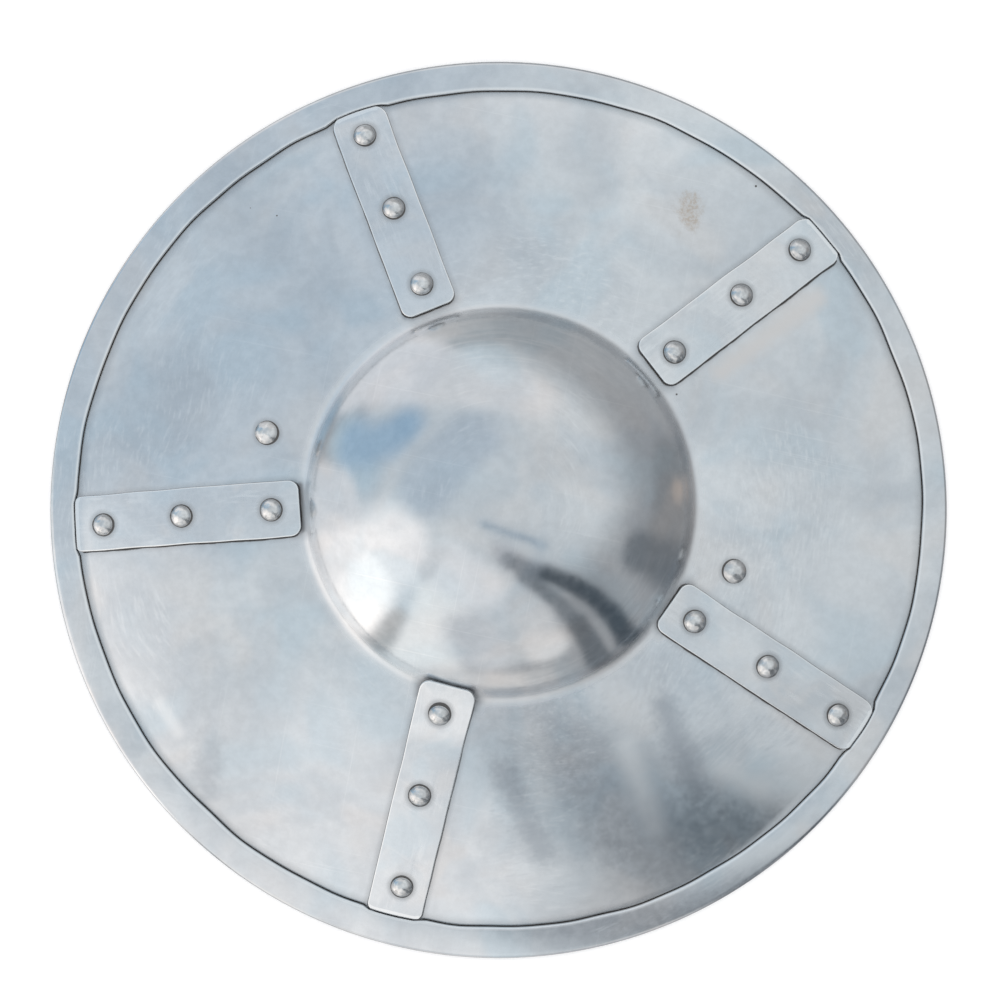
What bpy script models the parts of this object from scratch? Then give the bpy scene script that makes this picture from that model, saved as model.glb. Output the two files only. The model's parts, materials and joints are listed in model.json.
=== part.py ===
# A round steel buckler, lying on its rim with the boss up.
# One dished sheet makes the plate: a domed boss, a shallow cone round it and a hem folded over at the
# rim. Five flat straps are riveted to the cone, from the boss to the hem. Behind, a forged grip spans
# the hollow of the boss, held by one rivet at each end.
# Metres, +Z up. The origin is the centre of the rim, at the height of the surface it lies on.
import math

import bmesh
import bpy
from mathutils import Matrix, Vector

MM = 0.001

# The sheet, and the space left between pieces that touch
SHEET = 1.5 * MM
CLEARANCE = 0.3 * MM
MERGE_DISTANCE = 0.01 * MM

# The plate in section. The cone bows a little: it is shallow at the boss and steepest beside the hem,
# under which the sheet was hammered shallower again.
RIM_RADIUS = 170.0 * MM
RIM_SEGMENTS = 56
CONE_FOOT_SLOPE = math.radians(10.5)
CONE_EDGE_SLOPE = math.radians(20.5)
CONE_EDGE_RADIUS = 157.5 * MM
CONE_BANDS = 4
HEM_SLOPE = math.radians(13.5)
HEM_EDGE_RADIUS = 159.2 * MM
HEM_EDGE_SWAY = (0.6 * MM, 0.5 * MM, 0.9 * MM)
HEM_GAP = 0.3 * MM
FILLET_RADIUS = 5.0 * MM
FILLET_CENTRE_RADIUS = 76.0 * MM
BOSS_EDGE_TILT = math.radians(56)
BOSS_SHIFT = Vector((0.4 * MM, 2.6 * MM))
FRONT_DOME_STEPS = 6
BACK_DOME_STEPS = 4

# The hem's fold: its outer skin is cut flat where the plate rests
FOLD_INSIDE = HEM_GAP / 2
FOLD_OUTSIDE = FOLD_INSIDE + SHEET
REST_FLAT_DROP = SHEET

# The straps: heading in degrees, distance of the centreline from the rim's centre, inner end, and
# each rivet's place along and across the strap. They were laid by hand, so no two are alike.
STRAP_WIDTH = 21.0 * MM
STRAP_END_GAP = 0.6 * MM
STRAP_CORNER = 3.8 * MM
STRAP_COLUMNS = 4
STRAP_CONE_ROWS = 5
STRAP_BEND_STEP = 1.2 * MM
STRAP_MARGIN = 3.0 * MM
CUTTER_HEIGHT = 80.0 * MM
STRAPS = (
    (110.9, -3.2, 78.6, ((89.0, -0.1), (119.9, -0.5), (150.4, -0.2))),
    (37.3, 7.9, 77.8, ((87.9, -0.8), (121.4, 1.0), (150.1, 1.3))),
    (326.6, 5.9, 72.3, ((83.9, -0.3), (116.6, 0.7), (149.7, 0.1))),
    (256.2, -2.2, 67.1, ((78.9, -1.0), (111.0, -1.0), (147.0, 0.7))),
    (184.4, -6.7, 73.6, ((84.6, 0.1), (119.0, -0.2), (149.5, 0.8))),
)
RIVET_PLACES = ("inner", "middle", "outer")

# The rivets
HEAD_RADIUS = 4.15 * MM
HEAD_HEIGHT = 2.7 * MM
GRIP_HEAD_RADIUS = 4.3 * MM
GRIP_HEAD_HEIGHT = 2.2 * MM
SHANK_RADIUS = 2.4 * MM
HOLE_RADIUS = SHANK_RADIUS + CLEARANCE
TAIL_RADIUS = 3.4 * MM
TAIL_HEIGHT = 1.2 * MM
TAIL_END_SHARE = 0.7
DRILL_LENGTH = 24.0 * MM
RIVET_SEGMENTS = 10
HOLE_SEGMENTS = 10

# The grip behind the boss
GRIP_CENTRE = Vector((0.7 * MM, 3.0 * MM))
GRIP_HEADING = math.radians(-16.5)
GRIP_RIVET_REACH = 91.0 * MM
GRIP_ROD_WIDTH = 20.0 * MM
GRIP_ROD_HEIGHT = 14.0 * MM
GRIP_ROD_REACH = 42.0 * MM
TERMINAL_WIDTH = 22.0 * MM
TERMINAL_THICKNESS = 2.6 * MM
TERMINAL_REACH = 74.0 * MM
TERMINAL_CLEARANCE = 0.5 * MM
GRIP_LEVEL_REACH = 62.0 * MM
GRIP_BEND_REACH = 80.0 * MM

COLLECTION = "buckler_shield"
CUTTER_COLLECTION = "cutters"


# ---- the plate's front surface -------------------------------------------------------------------

def across_hem():
    """Unit normal of the hem in section, as (outwards, up)."""
    return Vector((math.sin(HEM_SLOPE), math.cos(HEM_SLOPE)))


def fold_centre():
    """Centre of the hem's fold in section, as (radius, height)."""
    return Vector((RIM_RADIUS - FOLD_OUTSIDE, REST_FLAT_DROP))


def hem_edge_radius(azimuth):
    """Radius of the hem's inner edge, which wanders round the rim because the hem was folded by hand."""
    cosine, sine, double = HEM_EDGE_SWAY
    return (HEM_EDGE_RADIUS + cosine * math.cos(azimuth) + sine * math.sin(azimuth)
            + double * math.cos(2 * azimuth))


def cone_foot_radius():
    """Radius at which the cone runs into the fillet round the boss."""
    return FILLET_CENTRE_RADIUS - FILLET_RADIUS * math.sin(CONE_FOOT_SLOPE)


def cone_fall(radius):
    """How steeply the cone falls outwards at a radius, as a gradient."""
    share = (radius - cone_foot_radius()) / (CONE_EDGE_RADIUS - cone_foot_radius())
    foot, edge = math.tan(CONE_FOOT_SLOPE), math.tan(CONE_EDGE_SLOPE)
    return foot + (edge - foot) * share


def cone_height(radius):
    """Height of the plate's front at a radius, outside the boss: the bowed cone, or the hem's bed."""
    bed = fold_centre() - across_hem() * FOLD_INSIDE
    if radius > CONE_EDGE_RADIUS:
        return bed.y + (bed.x - radius) * math.tan(HEM_SLOPE)
    edge_height = bed.y + (bed.x - CONE_EDGE_RADIUS) * math.tan(HEM_SLOPE)
    mean_fall = (cone_fall(radius) + math.tan(CONE_EDGE_SLOPE)) / 2
    return edge_height + (CONE_EDGE_RADIUS - radius) * mean_fall


def fillet_centre():
    """Centre of the hollow fillet between the cone and the boss, as (radius, height)."""
    rise = FILLET_RADIUS * math.cos(CONE_FOOT_SLOPE)
    return Vector((FILLET_CENTRE_RADIUS, cone_height(cone_foot_radius()) + rise))


def boss_sphere():
    """Radius of the boss's front sphere and the height of its centre, which is below the rim."""
    centre = fillet_centre()
    edge_radius = centre.x - FILLET_RADIUS * math.sin(BOSS_EDGE_TILT)
    edge_height = centre.y - FILLET_RADIUS * math.cos(BOSS_EDGE_TILT)
    sphere = edge_radius / math.sin(BOSS_EDGE_TILT)
    return sphere, edge_height - sphere * math.cos(BOSS_EDGE_TILT)


def front_height(radius):
    """Height of the plate's front at a radius: boss, fillet, then cone."""
    centre = fillet_centre()
    sphere, sphere_height = boss_sphere()
    if radius < centre.x - FILLET_RADIUS * math.sin(BOSS_EDGE_TILT):
        return sphere_height + math.sqrt(sphere ** 2 - radius ** 2)
    if radius < cone_foot_radius():
        return centre.y - math.sqrt(FILLET_RADIUS ** 2 - (centre.x - radius) ** 2)
    return cone_height(radius)


def ring_shift(radius):
    """How far the plate's ring of this radius is off the rim's centre: fully at the boss, not at the hem."""
    share = (HEM_EDGE_RADIUS - radius) / (HEM_EDGE_RADIUS - FILLET_CENTRE_RADIUS)
    share = min(max(share, 0.0), 1.0)
    return BOSS_SHIFT * (share * share * (3 - 2 * share))


def ring_radius(place):
    """Radius of the plate's ring that passes over a place (x, y)."""
    radius = place.length
    for _ in range(6):
        radius = (place - ring_shift(radius)).length
    return radius


def front_point(place):
    """The point of the plate's front over a place (x, y)."""
    return Vector((place.x, place.y, front_height(ring_radius(place))))


def front_normal(place):
    """The plate's outward normal over a place (x, y)."""
    step = 0.05 * MM
    east = front_point(place + Vector((step, 0))) - front_point(place - Vector((step, 0)))
    north = front_point(place + Vector((0, step))) - front_point(place - Vector((0, step)))
    return east.cross(north).normalized()


def seat_matrix(place, height):
    """Frame on the plate's front, z outwards, whose axis is over the place at a height above it."""
    normal = front_normal(place)
    foot = front_point(place - normal.xy * height)
    turn = normal.to_track_quat('Z', 'Y').to_matrix().to_4x4()
    return Matrix.Translation(foot) @ turn


# ---- Blender helpers -------------------------------------------------------------------------------

def clear_scene():
    """Remove every object and make the part's two collections."""
    for old in list(bpy.data.objects):
        bpy.data.objects.remove(old, do_unlink=True)
    for name in (COLLECTION, CUTTER_COLLECTION):
        if name not in bpy.data.collections:
            bpy.context.scene.collection.children.link(bpy.data.collections.new(name))


def steel(name, colour, roughness):
    """A bare steel material."""
    material = bpy.data.materials.new(name)
    material.use_nodes = True
    shader = material.node_tree.nodes["Principled BSDF"]
    shader.inputs["Base Color"].default_value = (*colour, 1.0)
    shader.inputs["Metallic"].default_value = 1.0
    shader.inputs["Roughness"].default_value = roughness
    return material


def add_object(name, mesh, collection=COLLECTION):
    """Link a mesh into a collection as a named object."""
    thing = bpy.data.objects.new(name, mesh)
    bpy.data.collections[collection].objects.link(thing)
    return thing


def mesh_from(name, bm):
    """Turn a bmesh into a mesh and free it."""
    mesh = bpy.data.meshes.new(name)
    bm.to_mesh(mesh)
    bm.free()
    return mesh


def evaluated_mesh(thing):
    """The object's mesh after its modifiers, with its doubles welded."""
    bpy.context.view_layer.update()
    mesh = bpy.data.meshes.new_from_object(thing.evaluated_get(bpy.context.evaluated_depsgraph_get()))
    bm = bmesh.new()
    bm.from_mesh(mesh)
    bmesh.ops.remove_doubles(bm, verts=bm.verts, dist=MERGE_DISTANCE)
    bm.to_mesh(mesh)
    bm.free()
    return mesh


def turned_mesh(name, profile, segments):
    """Turn a profile of (radius, height) points, run down its outer side, about Z."""
    bm = bmesh.new()
    points = [bm.verts.new((radius, 0.0, height)) for radius, height in profile]
    for first, second in zip(points, points[1:]):
        bm.edges.new((first, second))
    guide = add_object(name, mesh_from(name, bm), CUTTER_COLLECTION)
    screw = guide.modifiers.new("turn", 'SCREW')
    screw.steps = segments
    screw.render_steps = segments
    screw.use_merge_vertices = True
    screw.merge_threshold = MERGE_DISTANCE
    mesh = evaluated_mesh(guide)
    bpy.data.objects.remove(guide, do_unlink=True)
    mesh.name = name
    return mesh


def add_boolean(thing, cutter, operation):
    """Cut a thing with a cutter, or keep what both share."""
    boolean = thing.modifiers.new(cutter.name, 'BOOLEAN')
    boolean.operation = operation
    boolean.solver = 'EXACT'
    boolean.object = cutter
    cutter.hide_render = True
    cutter.display_type = 'WIRE'


def smooth(thing, sharp_degrees=35):
    """Shade a rounded piece smooth, apart from its edges."""
    thing.data.shade_smooth()
    thing.data.set_sharp_from_angle(angle=math.radians(sharp_degrees))


def arc(centre, radius, start, end, steps):
    """Points on an arc in section from one angle to another, both ends included."""
    for step in range(steps + 1):
        angle = start + (end - start) * step / steps
        yield centre + Vector((math.cos(angle), math.sin(angle))) * radius


# ---- the plate -------------------------------------------------------------------------------------

def boss_profile(thickness, dome_steps, fillet_steps):
    """The boss and its fillet in section, from the apex outwards, at a depth below the front."""
    sphere, sphere_height = boss_sphere()
    up = math.radians(90)
    dome = arc(Vector((0.0, sphere_height)), sphere - thickness, up, up - BOSS_EDGE_TILT, dome_steps)
    fillet = arc(fillet_centre(), FILLET_RADIUS + thickness, -up - BOSS_EDGE_TILT, -up - CONE_FOOT_SLOPE,
                 fillet_steps)
    return list(dome) + list(fillet)[1:]


def cone_profile(thickness):
    """The cone in section, from the end of its first band to the hem, at a depth below the front."""
    foot = cone_foot_radius()
    for band in range(1, CONE_BANDS + 1):
        radius = foot + (CONE_EDGE_RADIUS - foot) * band / CONE_BANDS
        slope = math.atan(cone_fall(radius))
        if band == CONE_BANDS:
            slope = (slope + HEM_SLOPE) / 2
        front = Vector((radius, cone_height(radius)))
        yield front - Vector((math.sin(slope), math.cos(slope))) * thickness


def plate_profile():
    """The whole sheet in section: front, hem, fold, resting flat, back."""
    normal = across_hem()
    outwards = Vector((normal.y, -normal.x))
    centre = fold_centre()
    lip = (centre.x + FOLD_INSIDE * normal.x - HEM_EDGE_RADIUS) / outwards.x
    upright = math.radians(90) - HEM_SLOPE
    flat_start = -math.asin(REST_FLAT_DROP / FOLD_OUTSIDE)
    back_foot = centre - normal * FOLD_OUTSIDE
    flat_end = back_foot.x + back_foot.y / math.tan(HEM_SLOPE)

    points = boss_profile(0.0, FRONT_DOME_STEPS, 4)
    points.extend(cone_profile(0.0))
    points.append(centre - normal * FOLD_INSIDE)
    points.append(centre + outwards * FOLD_INSIDE)
    points.append(centre + normal * FOLD_INSIDE)
    points.append(centre + normal * FOLD_INSIDE - outwards * lip)
    points.append(centre + normal * FOLD_OUTSIDE - outwards * lip)
    points.extend(arc(centre, FOLD_OUTSIDE, upright, 0.0, 3))
    points.extend(list(arc(centre, FOLD_OUTSIDE, 0.0, flat_start, 3))[1:])
    points.append(Vector((flat_end, 0.0)))
    points.extend(reversed(list(cone_profile(SHEET))))
    points.extend(reversed(boss_profile(SHEET, BACK_DOME_STEPS, 3)))
    points[0].x = 0.0
    points[-1].x = 0.0
    return points


def on_hem_edge(place):
    """Whether a point of the turned sheet is on the hem's inner edge, above the cone it is folded onto."""
    radius = place.xy.length
    above = place.z > cone_height(radius) + HEM_GAP / 2
    return above and abs(radius - HEM_EDGE_RADIUS) < SHEET


def make_plate(material):
    """The dished sheet, with the hem's edge wandering and the boss a little off centre."""
    mesh = turned_mesh("shield_plate", plate_profile(), RIM_SEGMENTS)
    for vertex in mesh.vertices:
        if on_hem_edge(vertex.co):
            outwards = vertex.co.xy.normalized()
            sway = hem_edge_radius(math.atan2(outwards.y, outwards.x)) - HEM_EDGE_RADIUS
            vertex.co += (outwards * sway).to_3d() - Vector((0, 0, sway * math.tan(HEM_SLOPE)))
        shift = ring_shift(vertex.co.xy.length)
        vertex.co.x += shift.x
        vertex.co.y += shift.y
    plate = add_object("shield_plate", mesh)
    mesh.materials.append(material)
    smooth(plate)
    return plate


# ---- the straps ------------------------------------------------------------------------------------

def strap_place(heading, offset, along, across):
    """World (x, y) of a point given along and across a strap."""
    direction = Vector((math.cos(heading), math.sin(heading)))
    sideways = Vector((-direction.y, direction.x))
    return direction * along + sideways * (offset + across)


def strap_end_radius(heading, offset):
    """Radius of the arc that ends a strap, just short of the hem's edge."""
    end = strap_place(heading, offset, HEM_EDGE_RADIUS, 0.0)
    return hem_edge_radius(math.atan2(end.y, end.x)) - STRAP_END_GAP


def strap_outline(heading, offset, inner_end):
    """The strap seen from above: square inner end, outer end curved along the hem, rounded corners."""
    quarter = math.radians(90)
    reach = STRAP_WIDTH / 2 - STRAP_CORNER
    end_radius = strap_end_radius(heading, offset)
    corners = []
    for side, start, end in ((1, quarter, None), (-1, None, -quarter)):
        across = side * reach
        along = math.sqrt((end_radius - STRAP_CORNER) ** 2 - (across + offset) ** 2)
        radial = math.atan2(across + offset, along)
        first = radial if start is None else start
        last = radial if end is None else end
        corners.append((Vector((along, across)), first, last))
    corners.append((Vector((inner_end + STRAP_CORNER, -reach)), -quarter, -2 * quarter))
    corners.append((Vector((inner_end + STRAP_CORNER, reach)), 2 * quarter, quarter))
    return [strap_place(heading, offset, point.x, point.y)
            for centre, first, last in corners for point in arc(centre, STRAP_CORNER, first, last, 3)]


def outline_cutter(name, outline, top):
    """A prism over an outline, from the ground up, made from a filled 2D curve."""
    curve = bpy.data.curves.new(name, 'CURVE')
    curve.dimensions = '2D'
    curve.fill_mode = 'BOTH'
    curve.extrude = top / 2
    spline = curve.splines.new('POLY')
    spline.points.add(len(outline) - 1)
    for point, place in zip(spline.points, outline):
        point.co = (place.x, place.y, 0.0, 1.0)
    spline.use_cyclic_u = True
    guide = add_object(name, curve, CUTTER_COLLECTION)
    guide.location.z = top / 2
    bpy.context.view_layer.update()
    place = guide.matrix_world.copy()
    mesh = evaluated_mesh(guide)
    bpy.data.objects.remove(guide, do_unlink=True)
    bm = bmesh.new()
    bm.from_mesh(mesh)
    bmesh.ops.recalc_face_normals(bm, faces=bm.faces)
    bm.to_mesh(mesh)
    bm.free()
    cutter = add_object(name, mesh, CUTTER_COLLECTION)
    cutter.matrix_world = place
    return cutter


def strap_rows(inner_end):
    """Distances along a strap: wide steps on the straight cone, fine ones where it bends up the boss."""
    outer = HEM_EDGE_RADIUS + STRAP_MARGIN
    cone_start = FILLET_CENTRE_RADIUS + STRAP_MARGIN
    rows = [outer + (cone_start - outer) * step / STRAP_CONE_ROWS for step in range(STRAP_CONE_ROWS + 1)]
    while rows[-1] > inner_end - STRAP_MARGIN:
        rows.append(rows[-1] - STRAP_BEND_STEP)
    return rows


def make_strap(number, layout, material):
    """One strap: a band laid on the plate, cut to its outline."""
    heading, offset, inner_end, _ = layout
    rows = strap_rows(inner_end)
    half_width = STRAP_WIDTH / 2 + STRAP_MARGIN
    bm = bmesh.new()
    bmesh.ops.create_grid(bm, x_segments=len(rows) - 1, y_segments=STRAP_COLUMNS, size=1.0)
    for vertex in bm.verts:
        row = round((1.0 - vertex.co.x) / 2 * (len(rows) - 1))
        place = strap_place(heading, offset, rows[row], vertex.co.y * half_width)
        vertex.co = front_point(place) + front_normal(place) * CLEARANCE
    name = f"strap_{number}"
    strap = add_object(name, mesh_from(name, bm))
    strap.data.materials.append(material)
    wall = strap.modifiers.new("sheet", 'SOLIDIFY')
    wall.thickness = SHEET
    wall.offset = 1.0
    cutter = outline_cutter(f"{name}_outline", strap_outline(heading, offset, inner_end), CUTTER_HEIGHT)
    add_boolean(strap, cutter, 'INTERSECT')
    return strap


# ---- the rivets ------------------------------------------------------------------------------------

def rivet_mesh(name, head_radius, head_height, head_base, tail_top):
    """A rivet about Z: domed head above the height head_base, hammered tail below tail_top."""
    sphere = (head_radius ** 2 + head_height ** 2) / (2 * head_height)
    centre = Vector((0.0, head_base + head_height - sphere))
    up = math.radians(90)
    edge = math.asin((sphere - head_height) / sphere)
    profile = list(arc(centre, sphere, up, edge, 2))
    profile[0].x = 0.0
    profile.append(Vector((SHANK_RADIUS, head_base)))
    profile.append(Vector((SHANK_RADIUS, tail_top)))
    profile.append(Vector((TAIL_RADIUS, tail_top)))
    profile.append(Vector((TAIL_RADIUS * TAIL_END_SHARE, tail_top - TAIL_HEIGHT)))
    profile.append(Vector((0.0, tail_top - TAIL_HEIGHT)))
    return turned_mesh(name, profile, RIVET_SEGMENTS)


def add_rivet(name, mesh, seat):
    """One rivet on its seat."""
    rivet = add_object(name, mesh)
    rivet.matrix_world = seat
    smooth(rivet)
    return rivet


def hole_cutters(name, seats):
    """One cutter mesh with a drill at each seat, longer than everything it goes through."""
    bm = bmesh.new()
    for seat in seats:
        bmesh.ops.create_cone(bm, cap_ends=True, segments=HOLE_SEGMENTS, radius1=HOLE_RADIUS,
                              radius2=HOLE_RADIUS, depth=DRILL_LENGTH, matrix=seat)
    return add_object(name, mesh_from(name, bm), CUTTER_COLLECTION)


# ---- the grip --------------------------------------------------------------------------------------

def blend(start, end, value):
    """Smooth step from 0 at start to 1 at end."""
    share = min(max((value - start) / (end - start), 0.0), 1.0)
    return share * share * (3 - 2 * share)


def grip_place(along, across=0.0):
    """World (x, y) of a point along and across the grip."""
    direction = Vector((math.cos(GRIP_HEADING), math.sin(GRIP_HEADING)))
    sideways = Vector((-direction.y, direction.x))
    return GRIP_CENTRE + direction * along + sideways * across


def terminal_point(along):
    """Middle of the flat terminal's thickness, against the plate's back."""
    place = grip_place(along)
    depth = SHEET + TERMINAL_CLEARANCE + TERMINAL_THICKNESS / 2
    return front_point(place) - front_normal(place) * depth


def spine_height(along):
    """Height of the grip's middle: along the plate's back at the ends, level across the hollow."""
    reach = abs(along)
    side = math.copysign(1.0, along)
    if reach >= GRIP_BEND_REACH:
        return terminal_point(along).z
    bend_start = terminal_point(side * GRIP_BEND_REACH).z
    fall = cone_fall(GRIP_BEND_REACH)
    run = GRIP_BEND_REACH - GRIP_LEVEL_REACH
    inwards = min(GRIP_BEND_REACH - reach, run)
    return bend_start + fall * (inwards - inwards ** 2 / (2 * run))


def grip_stations():
    """Distances along the grip at which its section is given, from end to end."""
    tip = TERMINAL_WIDTH / 2
    half = [0.0, 14 * MM, 28 * MM, GRIP_ROD_REACH, 50 * MM, 58 * MM, 66 * MM, TERMINAL_REACH,
            GRIP_BEND_REACH]
    half += [GRIP_RIVET_REACH + tip * math.sin(math.radians(angle)) for angle in (0, 30, 52, 70, 82)]
    return [-reach for reach in reversed(half[1:])] + half


def grip_section(along, points):
    """One ring of the grip: an oval rod that spreads into a flat, round-ended terminal."""
    reach = abs(along)
    flat = blend(GRIP_ROD_REACH, TERMINAL_REACH, reach)
    width = GRIP_ROD_WIDTH + (TERMINAL_WIDTH - GRIP_ROD_WIDTH) * flat
    past_rivet = max(reach - GRIP_RIVET_REACH, 0.0)
    width *= math.sqrt(1 - (past_rivet / (TERMINAL_WIDTH / 2)) ** 2)
    height = GRIP_ROD_HEIGHT + (TERMINAL_THICKNESS - GRIP_ROD_HEIGHT) * flat
    power = 2 / (2.2 + 4 * flat)
    step = 0.1 * MM
    slope = math.atan2(spine_height(along + step) - spine_height(along - step), 2 * step)
    direction = Vector((math.cos(GRIP_HEADING), math.sin(GRIP_HEADING), 0.0))
    sideways = Vector((-direction.y, direction.x, 0.0))
    upwards = Vector((0.0, 0.0, math.cos(slope))) - direction * math.sin(slope)
    middle = grip_place(along).to_3d()
    middle.z = spine_height(along)
    for index in range(points):
        angle = math.tau * (index + 0.5) / points
        across = math.copysign(abs(math.cos(angle)) ** power, math.cos(angle)) * width / 2
        rise = math.copysign(abs(math.sin(angle)) ** power, math.sin(angle)) * height / 2
        yield middle + sideways * across + upwards * rise


def make_grip(material):
    """The forged grip, lofted from section to section."""
    around = 12
    bm = bmesh.new()
    rings = [[bm.verts.new(point) for point in grip_section(along, around)] for along in grip_stations()]
    for near, far in zip(rings, rings[1:]):
        for index in range(around):
            after = (index + 1) % around
            bm.faces.new((near[index], near[after], far[after], far[index]))
    bm.faces.new(rings[0])
    bm.faces.new(rings[-1])
    bmesh.ops.recalc_face_normals(bm, faces=bm.faces)
    grip = add_object("hand_grip", mesh_from("hand_grip", bm))
    grip.data.materials.append(material)
    smooth(grip, 50)
    return grip


# ---- the buckler -----------------------------------------------------------------------------------

def main():
    clear_scene()
    plate = make_plate(steel("plate_steel", (0.48, 0.53, 0.58), 0.34))
    strap_steel = steel("strap_steel", (0.50, 0.55, 0.60), 0.32)
    rivet_steel = steel("rivet_steel", (0.44, 0.46, 0.49), 0.28)

    strap_head_base = CLEARANCE + SHEET + CLEARANCE
    rivet = rivet_mesh("strap_rivet", HEAD_RADIUS, HEAD_HEIGHT, strap_head_base, -SHEET - CLEARANCE)
    rivet.materials.append(rivet_steel)
    plate_seats = []
    for number, layout in enumerate(STRAPS, start=1):
        degrees, offset, inner_end, rivets = layout
        layout = (math.radians(degrees), offset * MM, inner_end * MM, rivets)
        strap = make_strap(number, layout, strap_steel)
        seats = []
        for where, (along, across) in zip(RIVET_PLACES, rivets):
            place = strap_place(layout[0], layout[1], along * MM, across * MM)
            seats.append(seat_matrix(place, strap_head_base))
            add_rivet(f"strap_{number}_rivet_{where}", rivet, seats[-1])
        add_boolean(strap, hole_cutters(f"strap_{number}_holes", seats), 'DIFFERENCE')
        plate_seats += seats

    grip = make_grip(steel("grip_steel", (0.40, 0.42, 0.45), 0.42))
    grip_tail_top = -SHEET - TERMINAL_CLEARANCE - TERMINAL_THICKNESS - CLEARANCE
    long_rivet = rivet_mesh("grip_rivet", GRIP_HEAD_RADIUS, GRIP_HEAD_HEIGHT, CLEARANCE, grip_tail_top)
    long_rivet.materials.append(rivet_steel)
    grip_seats = []
    for where, side in (("left", -1), ("right", 1)):
        grip_seats.append(seat_matrix(grip_place(side * GRIP_RIVET_REACH), CLEARANCE))
        add_rivet(f"grip_rivet_{where}", long_rivet, grip_seats[-1])
    add_boolean(grip, hole_cutters("grip_holes", grip_seats), 'DIFFERENCE')
    add_boolean(plate, hole_cutters("plate_holes", plate_seats + grip_seats), 'DIFFERENCE')


main()
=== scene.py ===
# %% [markdown]
# # A steel buckler
#
# A buckler is a small round shield, held in the fist. This one is made of plain steel. One dished
# sheet is the plate: a domed boss in the middle, a shallow cone round it, and a hem, which is the
# sheet's own edge folded over onto the front. Five flat straps are riveted to the cone, and a forged
# grip crosses the hollow of the boss behind, held by two more rivets.
#
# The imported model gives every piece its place. This lesson keeps those places and makes the fine
# surfaces on top: the fold with its dark crevice, the eased edges of the straps, the hammered rivets
# and the ground, clouded, lightly scratched steel.

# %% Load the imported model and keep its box
import json
import math
from functools import reduce

import bmesh
import bpy
import numpy as np
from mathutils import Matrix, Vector, noise
from mathutils.bvhtree import BVHTree

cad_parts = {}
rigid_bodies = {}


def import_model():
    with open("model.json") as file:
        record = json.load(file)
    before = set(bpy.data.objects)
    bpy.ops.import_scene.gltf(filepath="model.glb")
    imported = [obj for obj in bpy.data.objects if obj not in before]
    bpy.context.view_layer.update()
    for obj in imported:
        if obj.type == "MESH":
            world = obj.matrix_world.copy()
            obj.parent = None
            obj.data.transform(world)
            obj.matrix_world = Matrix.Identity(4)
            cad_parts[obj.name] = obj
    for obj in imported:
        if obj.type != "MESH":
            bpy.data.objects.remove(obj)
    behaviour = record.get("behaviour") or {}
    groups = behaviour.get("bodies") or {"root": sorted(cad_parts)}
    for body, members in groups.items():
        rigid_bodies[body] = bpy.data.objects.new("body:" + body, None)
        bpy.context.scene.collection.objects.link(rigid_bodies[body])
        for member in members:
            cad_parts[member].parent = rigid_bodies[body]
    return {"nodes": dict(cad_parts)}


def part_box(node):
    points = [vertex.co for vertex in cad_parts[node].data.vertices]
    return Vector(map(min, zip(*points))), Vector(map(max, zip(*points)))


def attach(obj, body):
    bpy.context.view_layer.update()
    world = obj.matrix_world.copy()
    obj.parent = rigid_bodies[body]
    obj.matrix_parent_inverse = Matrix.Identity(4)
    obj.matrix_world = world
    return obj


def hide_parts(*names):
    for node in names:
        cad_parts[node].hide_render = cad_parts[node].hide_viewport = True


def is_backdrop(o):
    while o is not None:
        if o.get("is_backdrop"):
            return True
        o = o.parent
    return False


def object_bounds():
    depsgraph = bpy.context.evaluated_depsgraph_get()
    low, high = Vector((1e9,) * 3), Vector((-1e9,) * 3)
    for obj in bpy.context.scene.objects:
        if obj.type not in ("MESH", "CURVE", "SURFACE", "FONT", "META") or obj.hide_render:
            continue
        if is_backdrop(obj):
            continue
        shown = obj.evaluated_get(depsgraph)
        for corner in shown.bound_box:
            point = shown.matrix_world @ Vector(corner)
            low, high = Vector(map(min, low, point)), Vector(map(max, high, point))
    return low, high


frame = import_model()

MM = 0.001
ROOT = "root"
cad_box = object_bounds()
print("CAD box, mm:", [[round(value / MM, 1) for value in corner] for corner in cad_box])

# %% [markdown]
# ## The sheet in section
#
# A turned dish is known from its section: one line that runs from the top of the boss down to the
# rim, round the fold and back up the inside. The real plate was hammered or spun from one sheet, so
# the line is the same sheet all the way, 1.5 mm thick. It could be drawn by hand as a curve, but a few
# named sizes and four arcs say it exactly, and the straps can ask the same functions where the
# surface is.

# %% Sizes of the sheet, and its arcs in section
SHEET = 1.5 * MM
RIM_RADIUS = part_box("shield_plate")[1].x
CONE_FOOT_SLOPE = math.radians(10.5)
CONE_EDGE_SLOPE = math.radians(20.5)
CONE_EDGE_RADIUS = 157.5 * MM
HEM_SLOPE = math.radians(13.5)
HEM_CROWN = 0.08 * MM
HEM_EDGE_RADIUS = 159.2 * MM
HEM_GAP = 0.3 * MM
FOLD_INSIDE = HEM_GAP / 2
FOLD_OUTSIDE = FOLD_INSIDE + SHEET
FILLET_RADIUS = 4.0 * MM
FILLET_CENTRE_RADIUS = 75.6 * MM
BOSS_EDGE_TILT = math.radians(56)
BOSS_SHIFT = np.array((0.4 * MM, 2.6 * MM))

UP_SLOPE = np.array((math.sin(HEM_SLOPE), math.cos(HEM_SLOPE)))
DOWN_SLOPE = np.array((math.cos(HEM_SLOPE), -math.sin(HEM_SLOPE)))
FOLD_CENTRE = np.array((RIM_RADIUS - FOLD_OUTSIDE, SHEET))
BED_END = FOLD_CENTRE - UP_SLOPE * FOLD_INSIDE
CONE_FOOT_RADIUS = FILLET_CENTRE_RADIUS - FILLET_RADIUS * math.sin(CONE_FOOT_SLOPE)


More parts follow.
